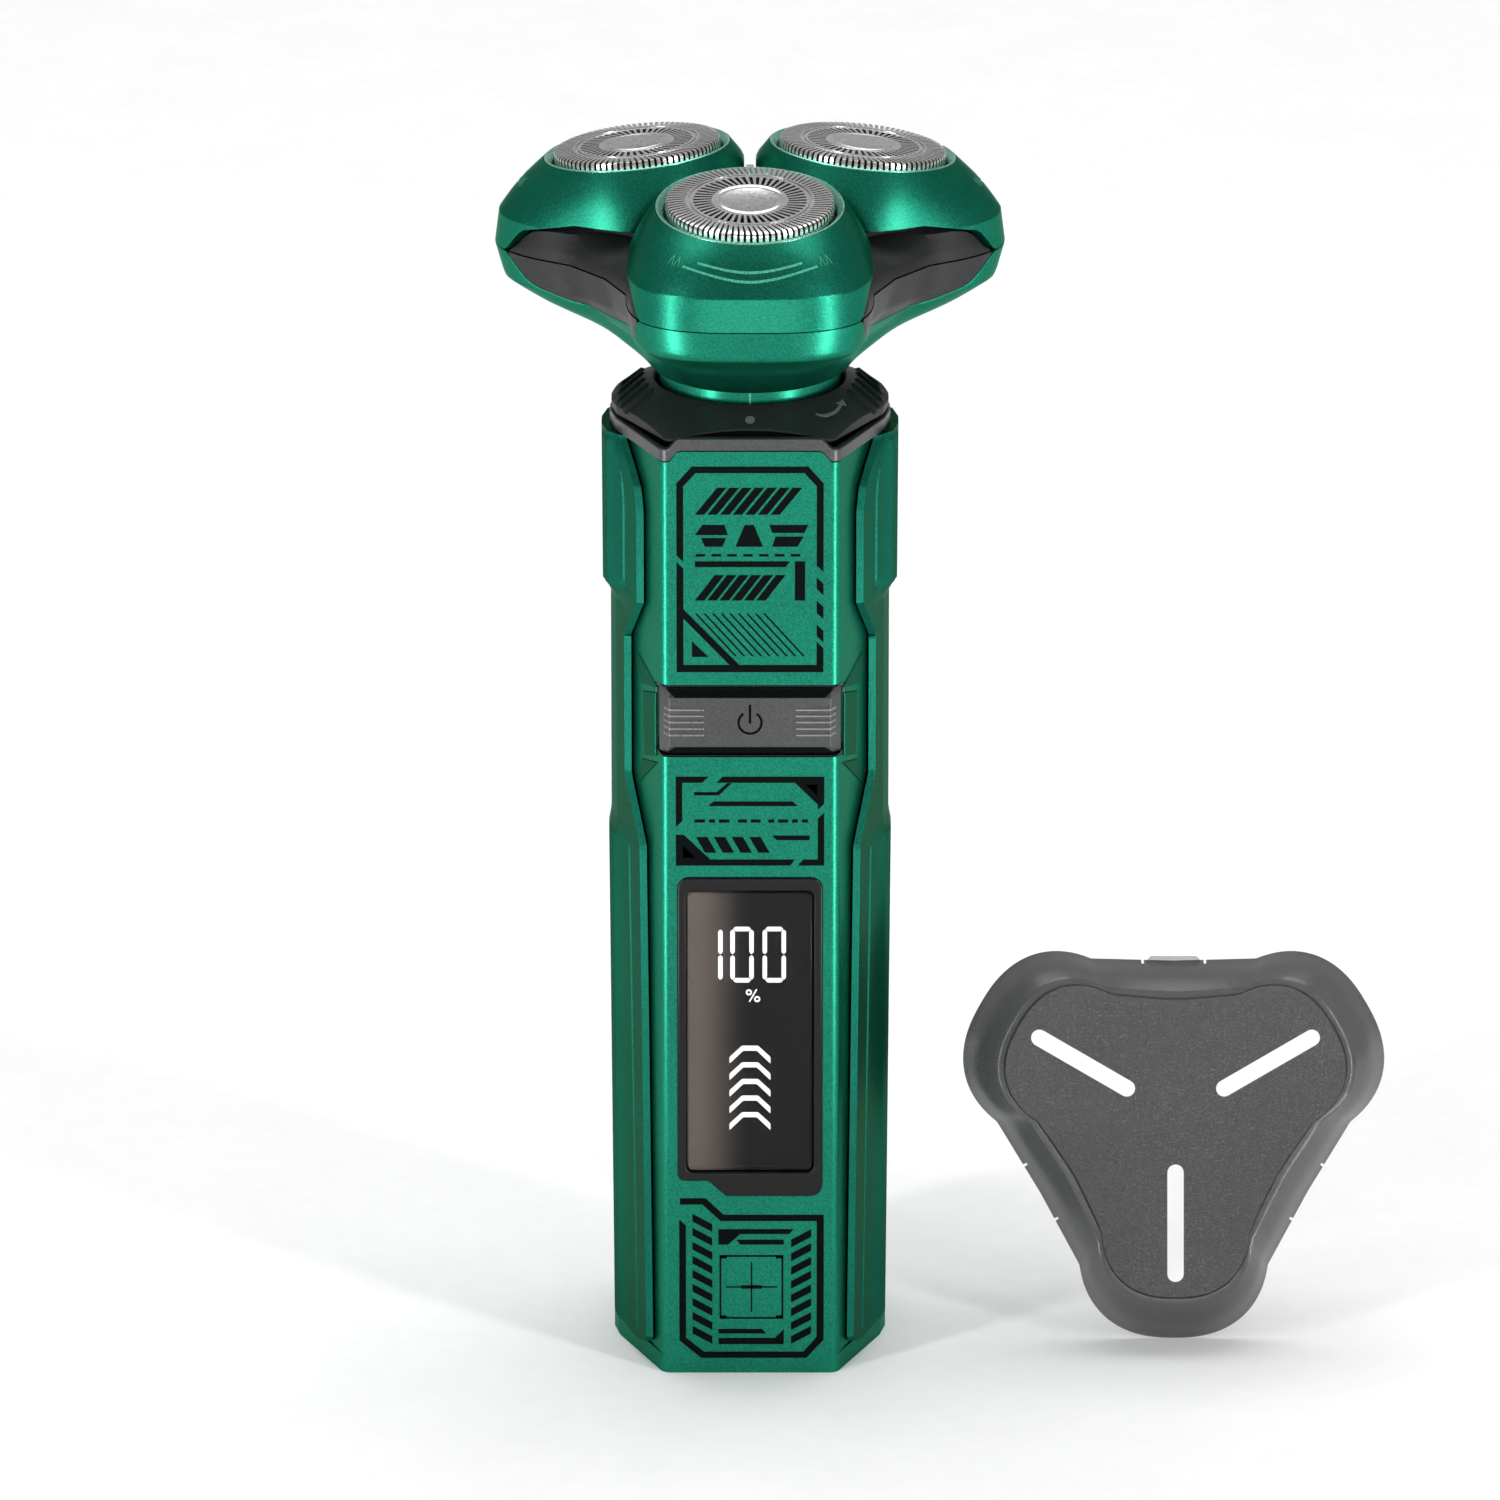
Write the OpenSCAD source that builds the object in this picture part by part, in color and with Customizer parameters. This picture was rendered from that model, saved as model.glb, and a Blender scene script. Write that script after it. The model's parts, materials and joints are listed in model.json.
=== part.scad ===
// Rotary electric shaver: an upright octagonal handle with a display and a power
// button, a turning neck, a three-lobed head with three floating cutters, and the
// transparent cover that protects the cutters, standing beside the handle.
// The origin is the middle of the handle's base, +Z is up and the front faces -Y.

/* [Handle] */
// Height of the housing's side walls
handle_h = 127.5; // [127:0.5:128.5]
// From the handle's axis to its flat front face
handle_depth = 18.5; // [18.3:0.1:19]
// Half the width of the flat front face
face_half = 11.5; // [11.3:0.1:11.8]
// Half the width of the housing under the side panels
core_half = 17.3; // [17.1:0.1:17.5]
// Half the overall width at the foot
foot_half = 18.15; // [18:0.05:18.4]
// Half the overall width at the waist
waist_half = 18.35; // [18.2:0.05:18.6]
// Half the overall width at the top
top_half = 19.5; // [19.2:0.1:19.7]
// Thickness of the housing's walls
wall = 1.6; // [1.4:0.1:1.8]

/* [Controls] */
// Height of the middle of the power button
button_z = 91.9; // [91:0.1:92.5]
// Width of the power button
button_w = 24.2; // [23:0.1:24.6]
// Height of the power button
button_h = 9.2; // [8:0.1:10]
// How far the power button stands out, and travels when it is pressed
button_travel = 0.6; // [0.3:0.1:0.7]
// Width of the display's bezel
bezel_w = 19.2; // [18:0.1:20]
// Height of the display's lower edge
bezel_z = 25.2; // [24:0.1:26]
// Height of the display's bezel
bezel_h = 45; // [44:0.5:46]

/* [Head] */
// From the shaver's axis to the middle of each cutter
cutter_r = 17.2; // [17.1:0.05:17.4]
// Height of the middle of each cutter's face
cutter_z = 162.9; // [162.5:0.1:163.5]
// Outward tilt of each cutter in degrees
tilt = 6.85; // [6.5:0.05:7]
// Radius of a cutter guard
guard_r = 11; // [10.8:0.1:11.1]
// How far a cutter can be pushed into the head
cutter_travel = 1.2; // [0.8:0.1:1.2]
// Radius of the head's tips at the seam
tip_r = 34.2; // [34:0.1:34.6]
// Radius of the head between two lobes at the seam
mid_r = 22; // [21.8:0.1:22.4]
// Half the width of a lobe
lobe_half = 16.2; // [16:0.1:16.4]
// Height of the seam between the head's two halves
seam_z = 150.2; // [150:0.1:150.4]
// Number of teeth on the central gear
sun_teeth = 16; // [16]
// Number of teeth on each drive gear
drive_teeth = 25; // [25]

/* [Protective cover] */
// From the shaver's axis to the middle of the cover
cover_x = 56.8; // [56:0.1:80]
// How far the standing cover leans back from upright, in degrees
cover_lean = 19.4; // [15:0.1:25]
// Radius of the cover's tips at its rim
cover_tip = 29.9; // [29.5:0.1:30.5]
// Radius of the cover's rim between two lobes
cover_mid = 20.7; // [20.2:0.1:21]
// Depth of the cover
cover_depth = 8.6; // [8:0.1:9]

/* [Hidden] */
$fn = 64;
tiny = 0.01;
far = 60;

// Handle levels
tab_rise = 1.5;
tab_half = 9.4;
tab_slope = 1;
trim_h = 1.8;
base_h = 2.4;
panel_low = 2.5;
seat_z = handle_h - 3.5;
collar_bore = 12.4;
collar_top = 133.6;
collar_slope = 0.49;
collar_step_z = 129.6;
spigot_r = 9.4;
spigot_top = 133.2;

// Display
lens_w = 16.4;
lens_h = 39.2;
lens_z = bezel_z + 3.7;
segment_w = 0.75;
digit_w = 2.5;
digit_h = 7.2;
digit_z = 55.4;
digit_pitch = 3.5;
digit_x = -2.35;
chevron_w = 5.4;
chevron_pitch = 2.35;
chevron_z = 34;
chevron_count = 5;

// Board, battery and motor
board_y = -9.6;
board_t = 1.2;
board_low = 4;
board_top = 110;
battery_r = 9;
battery_y = 4.8;
battery_z = 14;
battery_h = 50;
motor_r = 10.2;
motor_flat = 7.7;
motor_z = 84;
motor_h = 27;
shaft_r = 1;
run = 0.06;
shaft_h = 38;
coupling_z = motor_z + motor_h + 4;
coupling_h = 14;
sun_low = 129.6;
dog_h = 7.4;

// Drive train: the spindle's ball sits on the cutter's own axis
ball_depth = 4.8;
ball_r = 1.3;
spindle_r = 1.5;
ball_z = cutter_z - ball_depth * cos(tilt);
gear_distance = cutter_r - ball_depth * sin(tilt);
gear_module = 2 * gear_distance / (sun_teeth + drive_teeth);
gear_z = 145.9;
gear_t = 2.7;
plate_z = 148.9;
plate_t = 1.1;
base_plate_z = 142.4;
base_plate_t = 1.3;
post_r = 11.2;
sun_tooth_angle = 0;

// Head shape
rim_in = 11.3;
rim_out = 12.35;
rim_drop = 0.9;
guard_low = -4;
crease_z = 154.5;
pod_gap = 0.75;
frame_z = 153;
frame_t = 1.5;
frame_top = 154.9;
retainer_z = 154.6;
retainer_t = 0.9;
pod_wall = 1.6;
lobe_power = 3;
cover_power = 2.4;
cover_half = 12.8;
cover_wall = 1.1;
// The standing cover rests on the edge of its lower lobe
cover_z = cover_tip * cos(cover_lean) + cover_depth * sin(cover_lean);
cover_y = -4.3;

green = [0.02, 0.36, 0.24];
dark_green = [0.01, 0.22, 0.15];
light_green = [0.35, 0.58, 0.47];
graphite = [0.14, 0.14, 0.14];
grey = [0.32, 0.32, 0.32];
steel = [0.75, 0.75, 0.76];

// ---- Outlines ----

// Octagonal section of the handle: half width, depth to the face, half face width
function section(half, depth, face) =
  let (quarter = [[face, -depth], [half - 0.75, -4.9], [half, -1.4]])
  concat(
    quarter,
    [for (i = [2:-1:0]) [quarter[i][0], -quarter[i][1]]],
    [for (i = [0:2]) [-quarter[i][0], -quarter[i][1]]],
    [for (i = [2:-1:0]) [-quarter[i][0], quarter[i][1]]]
  );

function signed_power(v, p) = sign(v) * pow(abs(v), p);

// A point on a squared-off circle, at angle t
function squircle(t, half, power) =
  [half * signed_power(cos(t), 2 / power), half * signed_power(sin(t), 2 / power)];

// Three lobes as a list of [share, angle]: share is 0 between lobes and 1 at a tip
function lobes(tip, mid, half, power, reach = 90) = [
  for (k = [0:2], t = [-reach:10:reach + 10])
    let (p = squircle(t, half, power), u = tip - half + p[0])
    t > reach
      ? [0, 120 * k - 30]
      : [(sqrt(u * u + p[1] * p[1]) - mid) / (tip - mid), atan2(p[1], u) + 120 * k - 90]
];

head_outline = lobes(tip_r, mid_r, lobe_half, lobe_power);
cover_outline = lobes(cover_tip, cover_mid, cover_half, cover_power, 80);

// The outline at one level [height, radius between lobes, radius at a tip]
function ring(outline, level) = [
  for (p = outline)
    let (r = level[1] + (level[2] - level[1]) * p[0])
    [r * cos(p[1]), r * sin(p[1]), level[0]]
];

// Joins rings of points into a closed tube wall that returns to its first ring
module ring_shell(rings) {
  n = len(rings[0]);
  m = len(rings);
  polyhedron(
    points = [for (r = rings) each r],
    faces = [
      for (j = [0:m - 1], i = [0:n - 1])
        let (a = j * n + i, b = j * n + (i + 1) % n, c = ((j + 1) % m) * n)
        each [[a, b, c + i], [b, c + (i + 1) % n, c + i]]
    ],
    convexity = 6
  );
}

// Joins rings of points into a solid with a flat first and last ring
module ring_solid(rings) {
  n = len(rings[0]);
  m = len(rings);
  polyhedron(
    points = [for (r = rings) each r],
    faces = concat(
      [[for (i = [n - 1:-1:0]) i]],
      [
        for (j = [0:m - 2], i = [0:n - 1])
          let (a = j * n + i, b = j * n + (i + 1) % n)
          each [[a, b, a + n], [b, b + n, a + n]]
      ],
      [[for (i = [0:n - 1]) (m - 1) * n + i]]
    ),
    convexity = 6
  );
}

// ---- Placing ----

// Puts a shape drawn as [x, z] on the handle's front, from depth y0 to depth y1
module front_face(y0, y1) {
  translate([0, y1, 0])
    rotate([90, 0, 0])
      linear_extrude(y1 - y0)
        children();
}

module lobe_frame(k) {
  rotate([0, 0, 120 * k - 90])
    children();
}

module between_lobes(k) {
  rotate([0, 0, 120 * k - 30])
    children();
}

module cutter_frame(k) {
  lobe_frame(k)
    translate([cutter_r, 0, cutter_z])
      rotate([0, tilt, 0])
        children();
}

module tube(r_out, r_in, z0, z1) {
  difference() {
    translate([0, 0, z0])
      cylinder(r = r_out, h = z1 - z0);
    translate([0, 0, z0 - 1])
      cylinder(r = r_in, h = z1 - z0 + 2);
  }
}

module block(low, high) {
  translate(low)
    cube(high - low);
}

// ---- Handle shells ----

module outer_silhouette() {
  profile = [
    [foot_half, 0], [18.7, 71.5], [waist_half, 73.5], [waist_half, 104.5],
    [top_half - 0.1, 106.5], [top_half, handle_h]
  ];
  front_face(-far, far)
    polygon(concat(profile, [for (i = [len(profile) - 1:-1:0]) [-profile[i][0], profile[i][1]]]));
}

module core_prism(z0, z1) {
  translate([0, 0, z0])
    linear_extrude(z1 - z0)
      polygon(section(core_half, handle_depth, face_half));
}

module cavity_prism(z0, z1, gap = 0) {
  translate([0, 0, z0])
    linear_extrude(z1 - z0)
      polygon(section(core_half - wall - gap, handle_depth - wall - gap, face_half - wall / 2 - gap));
}

module face_tab(rise) {
  front_face(-handle_depth, handle_depth)
    polygon([
      [-tab_half - tab_slope, handle_h - tiny], [tab_half + tab_slope, handle_h - tiny],
      [tab_half, handle_h + rise], [-tab_half, handle_h + rise]
    ]);
}

module housing_tube() {
  difference() {
    union() {
      core_prism(0, handle_h);
      linear_extrude(panel_low)
        polygon(section(foot_half, handle_depth, face_half));
      face_tab(tab_rise);
    }
    cavity_prism(-1, handle_h + 5);
  }
}

module front_housing() {
  color(green)
    difference() {
      housing_tube();
      block([-far, 0, -1], [far, far, 200]);
      block(
        [-button_w / 2 - 0.4, -far, button_z - button_h / 2 - 0.4],
        [button_w / 2 + 0.4, -handle_depth + wall + 2.5, button_z + button_h / 2 + 0.4]
      );
      front_face(-far, -handle_depth + wall + 1)
        bezel_outline();
    }
}

module rear_housing() {
  color(green)
    difference() {
      housing_tube();
      block([-far, -far, -1], [far, 0, 200]);
    }
}

module side_panel(side) {
  edge = [
    [12.9, panel_low], [13.6, 73], [15.6, 81.3], [15.6, 100.6], [13.9, 106.4],
    [13.9, 121.5], [17.2, handle_h], [30, handle_h], [30, panel_low]
  ];
  color(dark_green)
    difference() {
      intersection() {
        linear_extrude(handle_h)
          polygon(section(top_half, handle_depth + 0.9, face_half + 0.1));
        outer_silhouette();
        front_face(-far, far)
          polygon([for (p = edge) [side * p[0], p[1]]]);
        block([-far, -handle_depth + 2.2, 0], [far, handle_depth - 2.2, 200]);
      }
      core_prism(-1, 200);
    }
}

module base_cap() {
  color(graphite)
    difference() {
      cavity_prism(0, base_h);
      block([-4.8, -8.4, -1], [4.8, -4.8, base_h + 1]);
      for (x = [-9, 9])
        translate([x, 4, -1]) {
          cylinder(r = 1.2, h = base_h + 2);
          cylinder(r = 2.2, h = 2.2);
        }
    }
}

module base_screws() {
  color(steel)
    for (x = [-9, 9])
      translate([x, 4, 0])
        difference() {
          union() {
            translate([0, 0, 0.2])
              cylinder(r = 2, h = 1);
            translate([0, 0, 1])
              cylinder(r = 1.1, h = 7);
          }
          block([-1.4, -0.3, 0], [1.4, 0.3, 0.7]);
          block([-0.3, -1.4, 0], [0.3, 1.4, 0.7]);
        }
}

module socket_outline(gap) {
  for (x = [-1, 1])
    translate([x * 2.89, -6.6])
      circle(r = 1.58 - gap);
  translate([-2.89, -6.6 - 1.58 + gap])
    square([5.78, 3.16 - 2 * gap]);
}

module charging_socket() {
  color(steel)
    difference() {
      translate([0, 0, 0.3])
        linear_extrude(7.5)
          socket_outline(0);
      translate([0, 0, 0])
        linear_extrude(7.2)
          socket_outline(0.3);
    }
}

module socket_tongue() {
  color(graphite)
    block([-3.3, -6.95, 1.2], [3.3, -6.25, 7.2]);
}

// ---- Top of the handle ----

module top_trim() {
  color(grey)
    difference() {
      union() {
        translate([0, 0, handle_h])
          linear_extrude(trim_h)
            polygon(section(18.4, handle_depth, face_half));
        face_tab(tab_rise + trim_h);
      }
      translate([0, 0, handle_h - 1])
        linear_extrude(10)
          polygon(section(17.4, handle_depth - 1.1, face_half - 0.5));
      face_tab(tab_rise);
      block([-far, -far, 0], [far, far, handle_h]);
    }
}

module collar() {
  low_r = 24;
  color(graphite)
    difference() {
      intersection() {
        translate([0, 0, handle_h])
          rotate_extrude()
            polygon([
              [0, 0], [low_r, 0], [low_r, collar_top - (low_r - collar_bore) * collar_slope - handle_h],
              [collar_bore, collar_top - handle_h], [0, collar_top - handle_h]
            ]);
        union() {
          translate([0, 0, handle_h])
            linear_extrude(10)
              polygon(section(16.6, 16, face_half - 1.4));
          translate([0, 0, collar_step_z])
            linear_extrude(10)
              polygon(section(18.2, 16.6, face_half - 0.6));
        }
      }
      translate([0, 0, handle_h - 1])
        cylinder(r = collar_bore, h = 10);
    }
}

module coupling_seat() {
  color(graphite) {
    difference() {
      union() {
        cavity_prism(seat_z, handle_h);
        translate([0, 0, handle_h - tiny])
          cylinder(r = spigot_r, h = spigot_top - handle_h);
        for (k = [0:2])
          between_lobes(k)
            intersection() {
              tube(spigot_r + 0.9, spigot_r - 1, 131.4, 132.6);
              block([0, -2, 130], [20, 2, 140]);
            }
      }
      translate([0, 0, seat_z - 1])
        cylinder(r = 4.2, h = 20);
      translate([0, 0, 128.8])
        cylinder(r = 5.2, h = 20);
    }
  }
}

module shaft_seal() {
  color([0.05, 0.05, 0.05])
    tube(4.2, 3.1, seat_z + 0.5, seat_z + 2.5);
}

// ---- Display ----

// The bezel is stepped at its lower left corner
module bezel_outline() {
  low = -bezel_w / 2;
  top = bezel_z + bezel_h;
  polygon([
    [low, bezel_z + 2.15], [low + 4.1, bezel_z + 2.15], [low + 6.4, bezel_z],
    [-low - 1, bezel_z], [-low, bezel_z + 1], [-low, top - 1], [-low - 1, top],
    [low + 1, top], [low, top - 1]
  ]);
}

module display_bezel() {
  color([0.03, 0.03, 0.03])
    difference() {
      front_face(-handle_depth - 0.35, -handle_depth + wall)
        bezel_outline();
      block([-lens_w / 2, -far, lens_z], [lens_w / 2, 0, lens_z + lens_h]);
    }
}

module display_lens() {
  color([0.1, 0.09, 0.09])
    block(
      [-lens_w / 2, -handle_depth - 0.25, lens_z],
      [lens_w / 2, -handle_depth + 0.75, lens_z + lens_h]
    );
}

// One bar of a digit, bevelled at its ends
module bar(length) {
  h = segment_w / 2;
  polygon([
    [0, 0], [h, h], [length - h, h], [length, 0], [length - h, -h], [h, -h]
  ]);
}

module zero_digit() {
  half = digit_h / 2;
  gap = 0.15;
  for (z = [0, digit_h])
    translate([gap, z])
      bar(digit_w - 2 * gap);
  for (x = [0, digit_w], z = [0, half])
    translate([x, z + gap])
      rotate(90)
        bar(half - 2 * gap);
}

module one_digit() {
  gap = 0.15;
  for (z = [0, digit_h / 2])
    translate([0, z + gap])
      rotate(90)
        bar(digit_h / 2 - 2 * gap);
}

module percent_sign() {
  for (p = [[-0.65, 1.25], [0.65, 0.45]])
    translate(p)
      difference() {
        circle(r = 0.42, $fn = 12);
        circle(r = 0.22, $fn = 12);
      }
  polygon([[-0.55, 0], [-0.35, 0], [0.55, 1.7], [0.35, 1.7]]);
}

module chevron() {
  half = chevron_w / 2;
  rise = 1.9;
  thick = 1;
  for (side = [-1, 1])
    polygon([
      [side * 0.1, rise], [side * half, 0], [side * half, thick], [side * 0.1, rise + thick]
    ]);
}

module display_segments() {
  color("white")
    front_face(-handle_depth + 0.8, -handle_depth + 0.95) {
      translate([digit_x - 1.5, digit_z])
        one_digit();
      for (i = [0, 1])
        translate([digit_x + 0.9 + i * digit_pitch, digit_z])
          zero_digit();
      translate([0.4, 52.6])
        percent_sign();
      for (i = [0:chevron_count - 1])
        translate([0.4, chevron_z + i * chevron_pitch])
          chevron();
    }
}

module display_module() {
  color([0.1, 0.1, 0.1])
    block([-8.6, -handle_depth + wall + 0.1, lens_z], [8.6, -handle_depth + wall + 2.4, lens_z + lens_h]);
}

// ---- Controls ----

module button_bezel() {
  color([0.03, 0.03, 0.03])
    intersection() {
      difference() {
        block(
          [-button_w / 2 - 0.4, -far, button_z - button_h / 2 - 0.4],
          [button_w / 2 + 0.4, -handle_depth + wall + 1.2, button_z + button_h / 2 + 0.4]
        );
        block(
          [-button_w / 2 - 0.1, -far, button_z - button_h / 2 - 0.1],
          [button_w / 2 + 0.1, 0, button_z + button_h / 2 + 0.1]
        );
      }
      linear_extrude(200)
        polygon(section(core_half, handle_depth, face_half));
    }
}

module power_button() {
  half = button_w / 2;
  face = -handle_depth - button_travel;
  color(grey)
    difference() {
      union() {
        translate([0, 0, button_z - button_h / 2 + 0.1])
          linear_extrude(button_h - 0.2)
            polygon([
              [-half + 0.2, -16.1], [-half + 0.2, -17.2], [-10.6, face], [10.6, face],
              [half - 0.2, -17.2], [half - 0.2, -16.1]
            ]);
        block([-2, -16.2, button_z - 2], [2, -14.3, button_z + 2]);
      }
      for (side = [-1, 1])
        translate([0, face - 0.2, button_z + side * (button_h / 2 + 0.2)])
          rotate([45, 0, 0])
            cube([19, 1.5, 1.5], center = true);
    }
}

module tact_switch() {
  color(graphite)
    union() {
      block([-2.3, board_y - 1.8, button_z - 2.3], [2.3, board_y, button_z + 2.3]);
      translate([0, board_y - 1.7, button_z])
        rotate([90, 0, 0])
          cylinder(r = 1.2, h = 1.7);
    }
}

// ---- Inside the handle ----

module main_board() {
  color([0.05, 0.3, 0.12])
    difference() {
      block([-12.4, board_y, board_low], [12.4, board_y + board_t, board_top]);
      for (x = [-10.5, 10.5], z = [board_low + 4, board_top - 4])
        translate([x, 0, z])
          rotate([90, 0, 0])
            cylinder(r = 1, h = 30);
    }
}

module battery_cell() {
  color([0.2, 0.35, 0.6])
    translate([0, battery_y, battery_z]) {
      cylinder(r = battery_r, h = battery_h);
      translate([0, 0, battery_h - tiny])
        cylinder(r = 3, h = 1);
    }
}

module battery_contacts() {
  color(steel) {
    block([-3, battery_y - 3, battery_z - 0.5], [3, battery_y + 3, battery_z - 0.1]);
    block([-3, battery_y - 11, battery_z - 0.5], [3, battery_y - 3, battery_z - 0.1]);
    block([-3, battery_y - 11, battery_z + battery_h + 1.1], [3, battery_y + 3, battery_z + battery_h + 1.5]);
  }
}

module inner_chassis() {
  back = 14.6;
  color(graphite)
    union() {
      block([-8, back, 8], [8, back + 1.8, 116]);
      for (z = [battery_z - 2.6, battery_z + battery_h + 1.6])
        block([-9, -6, z], [9, back + tiny, z + 2]);
      for (x = [-1, 1])
        block([x * 10.4 - 0.7, battery_y - 4, battery_z - 2.6], [x * 10.4 + 0.7, battery_y + 6, battery_z + battery_h + 3.6]);
      for (x = [-1, 1], z = [battery_z - 2.6, battery_z + battery_h + 1.6])
        block([x * 9.6 - 1.4, battery_y - 4, z], [x * 9.6 + 1.4, battery_y + 6, z + 2]);
    }
}

module motor_section() {
  intersection() {
    circle(r = motor_r);
    square([4 * motor_r, 2 * motor_flat], center = true);
  }
}

module motor_can() {
  color(steel)
    difference() {
      union() {
        translate([0, 0, motor_z])
          linear_extrude(motor_h)
            motor_section();
        translate([0, 0, motor_z - 1.4])
          cylinder(r = 3, h = 2);
        translate([0, 0, motor_z + motor_h - tiny])
          cylinder(r = 3, h = 1.4);
      }
      translate([0, 0, motor_z + 2])
        cylinder(r = 6.8, h = motor_h - 4);
      translate([0, 0, motor_z - 5])
        cylinder(r = shaft_r + run, h = motor_h + 10);
    }
}

module motor_bracket() {
  z = motor_z + motor_h + 0.02;
  color(graphite)
    difference() {
      union() {
        translate([0, 0, z])
          cylinder(r = 13.4, h = 2);
        for (k = [0:3])
          rotate([0, 0, 45 + 90 * k])
            block([10.4, -1.2, z + tiny], [13.2, 1.2, seat_z]);
      }
      translate([0, 0, z - 1])
        cylinder(r = 3.05, h = 4);
      for (x = [-5, 5])
        translate([x, 0, z - 1])
          cylinder(r = 1.1, h = 4);
    }
}

module motor_screws() {
  z = motor_z + motor_h + 2.02;
  color(steel)
    for (x = [-5, 5])
      translate([x, 0, z])
        difference() {
          union() {
            cylinder(r = 1.8, h = 0.9);
            translate([0, 0, -2])
              cylinder(r = 1.05, h = 2.1);
          }
          block([-1.3, -0.25, 0.5], [1.3, 0.25, 1.2]);
        }
}

module motor_shaft() {
  color(steel)
    translate([0, 0, motor_z - 1.2])
      cylinder(r = shaft_r, h = shaft_h);
}

module motor_armature() {
  color([0.55, 0.3, 0.12])
    difference() {
      translate([0, 0, motor_z + 4])
        cylinder(r = 6, h = motor_h - 8);
      for (k = [0:2])
        rotate([0, 0, 120 * k])
          block([3.4, -0.8, motor_z], [8, 0.8, motor_z + motor_h]);
      translate([0, 0, motor_z])
        cylinder(r = shaft_r, h = motor_h);
    }
}

// Three dogs drive the central gear's own three dogs with some lost motion
module drive_coupling() {
  color("white")
    difference() {
      union() {
        translate([0, 0, coupling_z])
          cylinder(r = 3, h = coupling_h);
        translate([0, 0, coupling_z + coupling_h - tiny])
          cylinder(r = 1.8, h = dog_h);
        for (k = [0:2])
          rotate([0, 0, 120 * k])
            block([1.2, -0.6, coupling_z + coupling_h - tiny], [2.85, 0.6, coupling_z + coupling_h + dog_h]);
      }
      translate([0, 0, coupling_z - 1])
        cylinder(r = shaft_r, h = motor_z - 1.2 + shaft_h - coupling_z + 1);
    }
}

// ---- Head base ----

lower_outer = [
  [seam_z - 0.1, mid_r, tip_r], [145.9, 20.6, 33], [143.2, 18.4, 28],
  [140.2, 15.4, 20.8], [137.3, 13.8, 16.2], [135.3, 12.9, 13.1]
];
lower_inner = [
  [135.3, 10.6, 10.6], [139.2, 12, 14.4], [142.2, 13.8, 19.8],
  [145.2, 16.6, 28.3], [146.8, 18.7, 31], [seam_z - 0.1, 20.2, 32.4]
];

module lower_body() {
  ring_shell([for (level = concat(lower_inner, lower_outer)) ring(head_outline, level)]);
}

// Openings for the web between two lobes, seen from the side
module web_windows(bottom, low, ledge) {
  for (k = [0:2])
    between_lobes(k)
      rotate([90, 0, 90])
        linear_extrude(far)
          polygon([
            [-17.5, seam_z + 5], [-17.5, seam_z - 0.1], [-14, ledge], [-9, low], [0, bottom],
            [9, low], [14, ledge], [17.5, seam_z - 0.1], [17.5, seam_z + 5]
          ]);
}

module lower_shell() {
  color(green)
    difference() {
      lower_body();
      web_windows(143.6, 144.8, 146.6);
    }
}

module lower_webs() {
  color(graphite)
    intersection() {
      lower_body();
      web_windows(143.6, 144.8, 146.6);
    }
}

module neck_ring() {
  color(green)
    difference() {
      union() {
        translate([0, 0, 129.6])
          cylinder(r = 11.9, h = 1.9);
        translate([0, 0, 131.4])
          cylinder(r = 11.6, h = 0.6);
        translate([0, 0, 131.9])
          cylinder(r = 11.9, h = 3.4);
        translate([0, 0, 135.2])
          cylinder(r = 10.2, h = 2);
      }
      translate([0, 0, 120])
        cylinder(r = spigot_r + 0.3, h = 20);
      translate([0, 0, 131.1])
        cylinder(r = spigot_r + 1.3, h = 1.8);
      for (k = [0:2])
        between_lobes(k)
          rotate([0, 0, 50])
            block([0, -2.4, 120], [spigot_r + 1.3, 2.4, 132]);
    }
}

module gear_base() {
  color(grey)
    difference() {
      union() {
        tube(post_r + 1.8, 7.6, base_plate_z, base_plate_z + base_plate_t);
        for (k = [0:2]) {
          lobe_frame(k)
            block([9, -1.8, base_plate_z + 0.2], [gear_distance - 1.5, 1.8, base_plate_z + base_plate_t - 0.2]);
          lobe_frame(k)
            translate([gear_distance, 0, base_plate_z])
              cylinder(r = 2.8, h = gear_z - 0.4 - base_plate_z);
          between_lobes(k)
            translate([post_r, 0, base_plate_z])
              cylinder(r = 1.5, h = plate_z - base_plate_z);
        }
      }
      for (k = [0:2]) {
        lobe_frame(k)
          translate([gear_distance, 0, base_plate_z + 0.6])
            cylinder(r = 1 + run, h = 10);
        between_lobes(k)
          translate([post_r, 0, plate_z - 4])
            cylinder(r = 0.8, h = 10);
      }
    }
}

module gear_plate() {
  color(grey)
    difference() {
      union() {
        translate([0, 0, plate_z])
          cylinder(r = 17.6, h = plate_t);
        for (k = [0:2])
          lobe_frame(k)
            translate([gear_distance, 0, plate_z])
              cylinder(r = 9, h = plate_t);
      }
      for (k = [0:2]) {
        lobe_frame(k)
          translate([gear_distance, 0, plate_z - 1])
            cylinder(r = spindle_r + run, h = 5);
        between_lobes(k)
          translate([post_r, 0, plate_z - 1])
            cylinder(r = 0.8, h = 5);
      }
    }
}

module gear_plate_screws() {
  z = plate_z + plate_t;
  color(steel)
    for (k = [0:2])
      between_lobes(k)
        translate([post_r, 0, z])
          difference() {
            union() {
              cylinder(r = 1.6, h = 0.8);
              translate([0, 0, -4.6])
                cylinder(r = 0.8, h = 4.7);
            }
            block([-1.2, -0.25, 0.4], [1.2, 0.25, 1]);
          }
}

// ---- Gears ----

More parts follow.
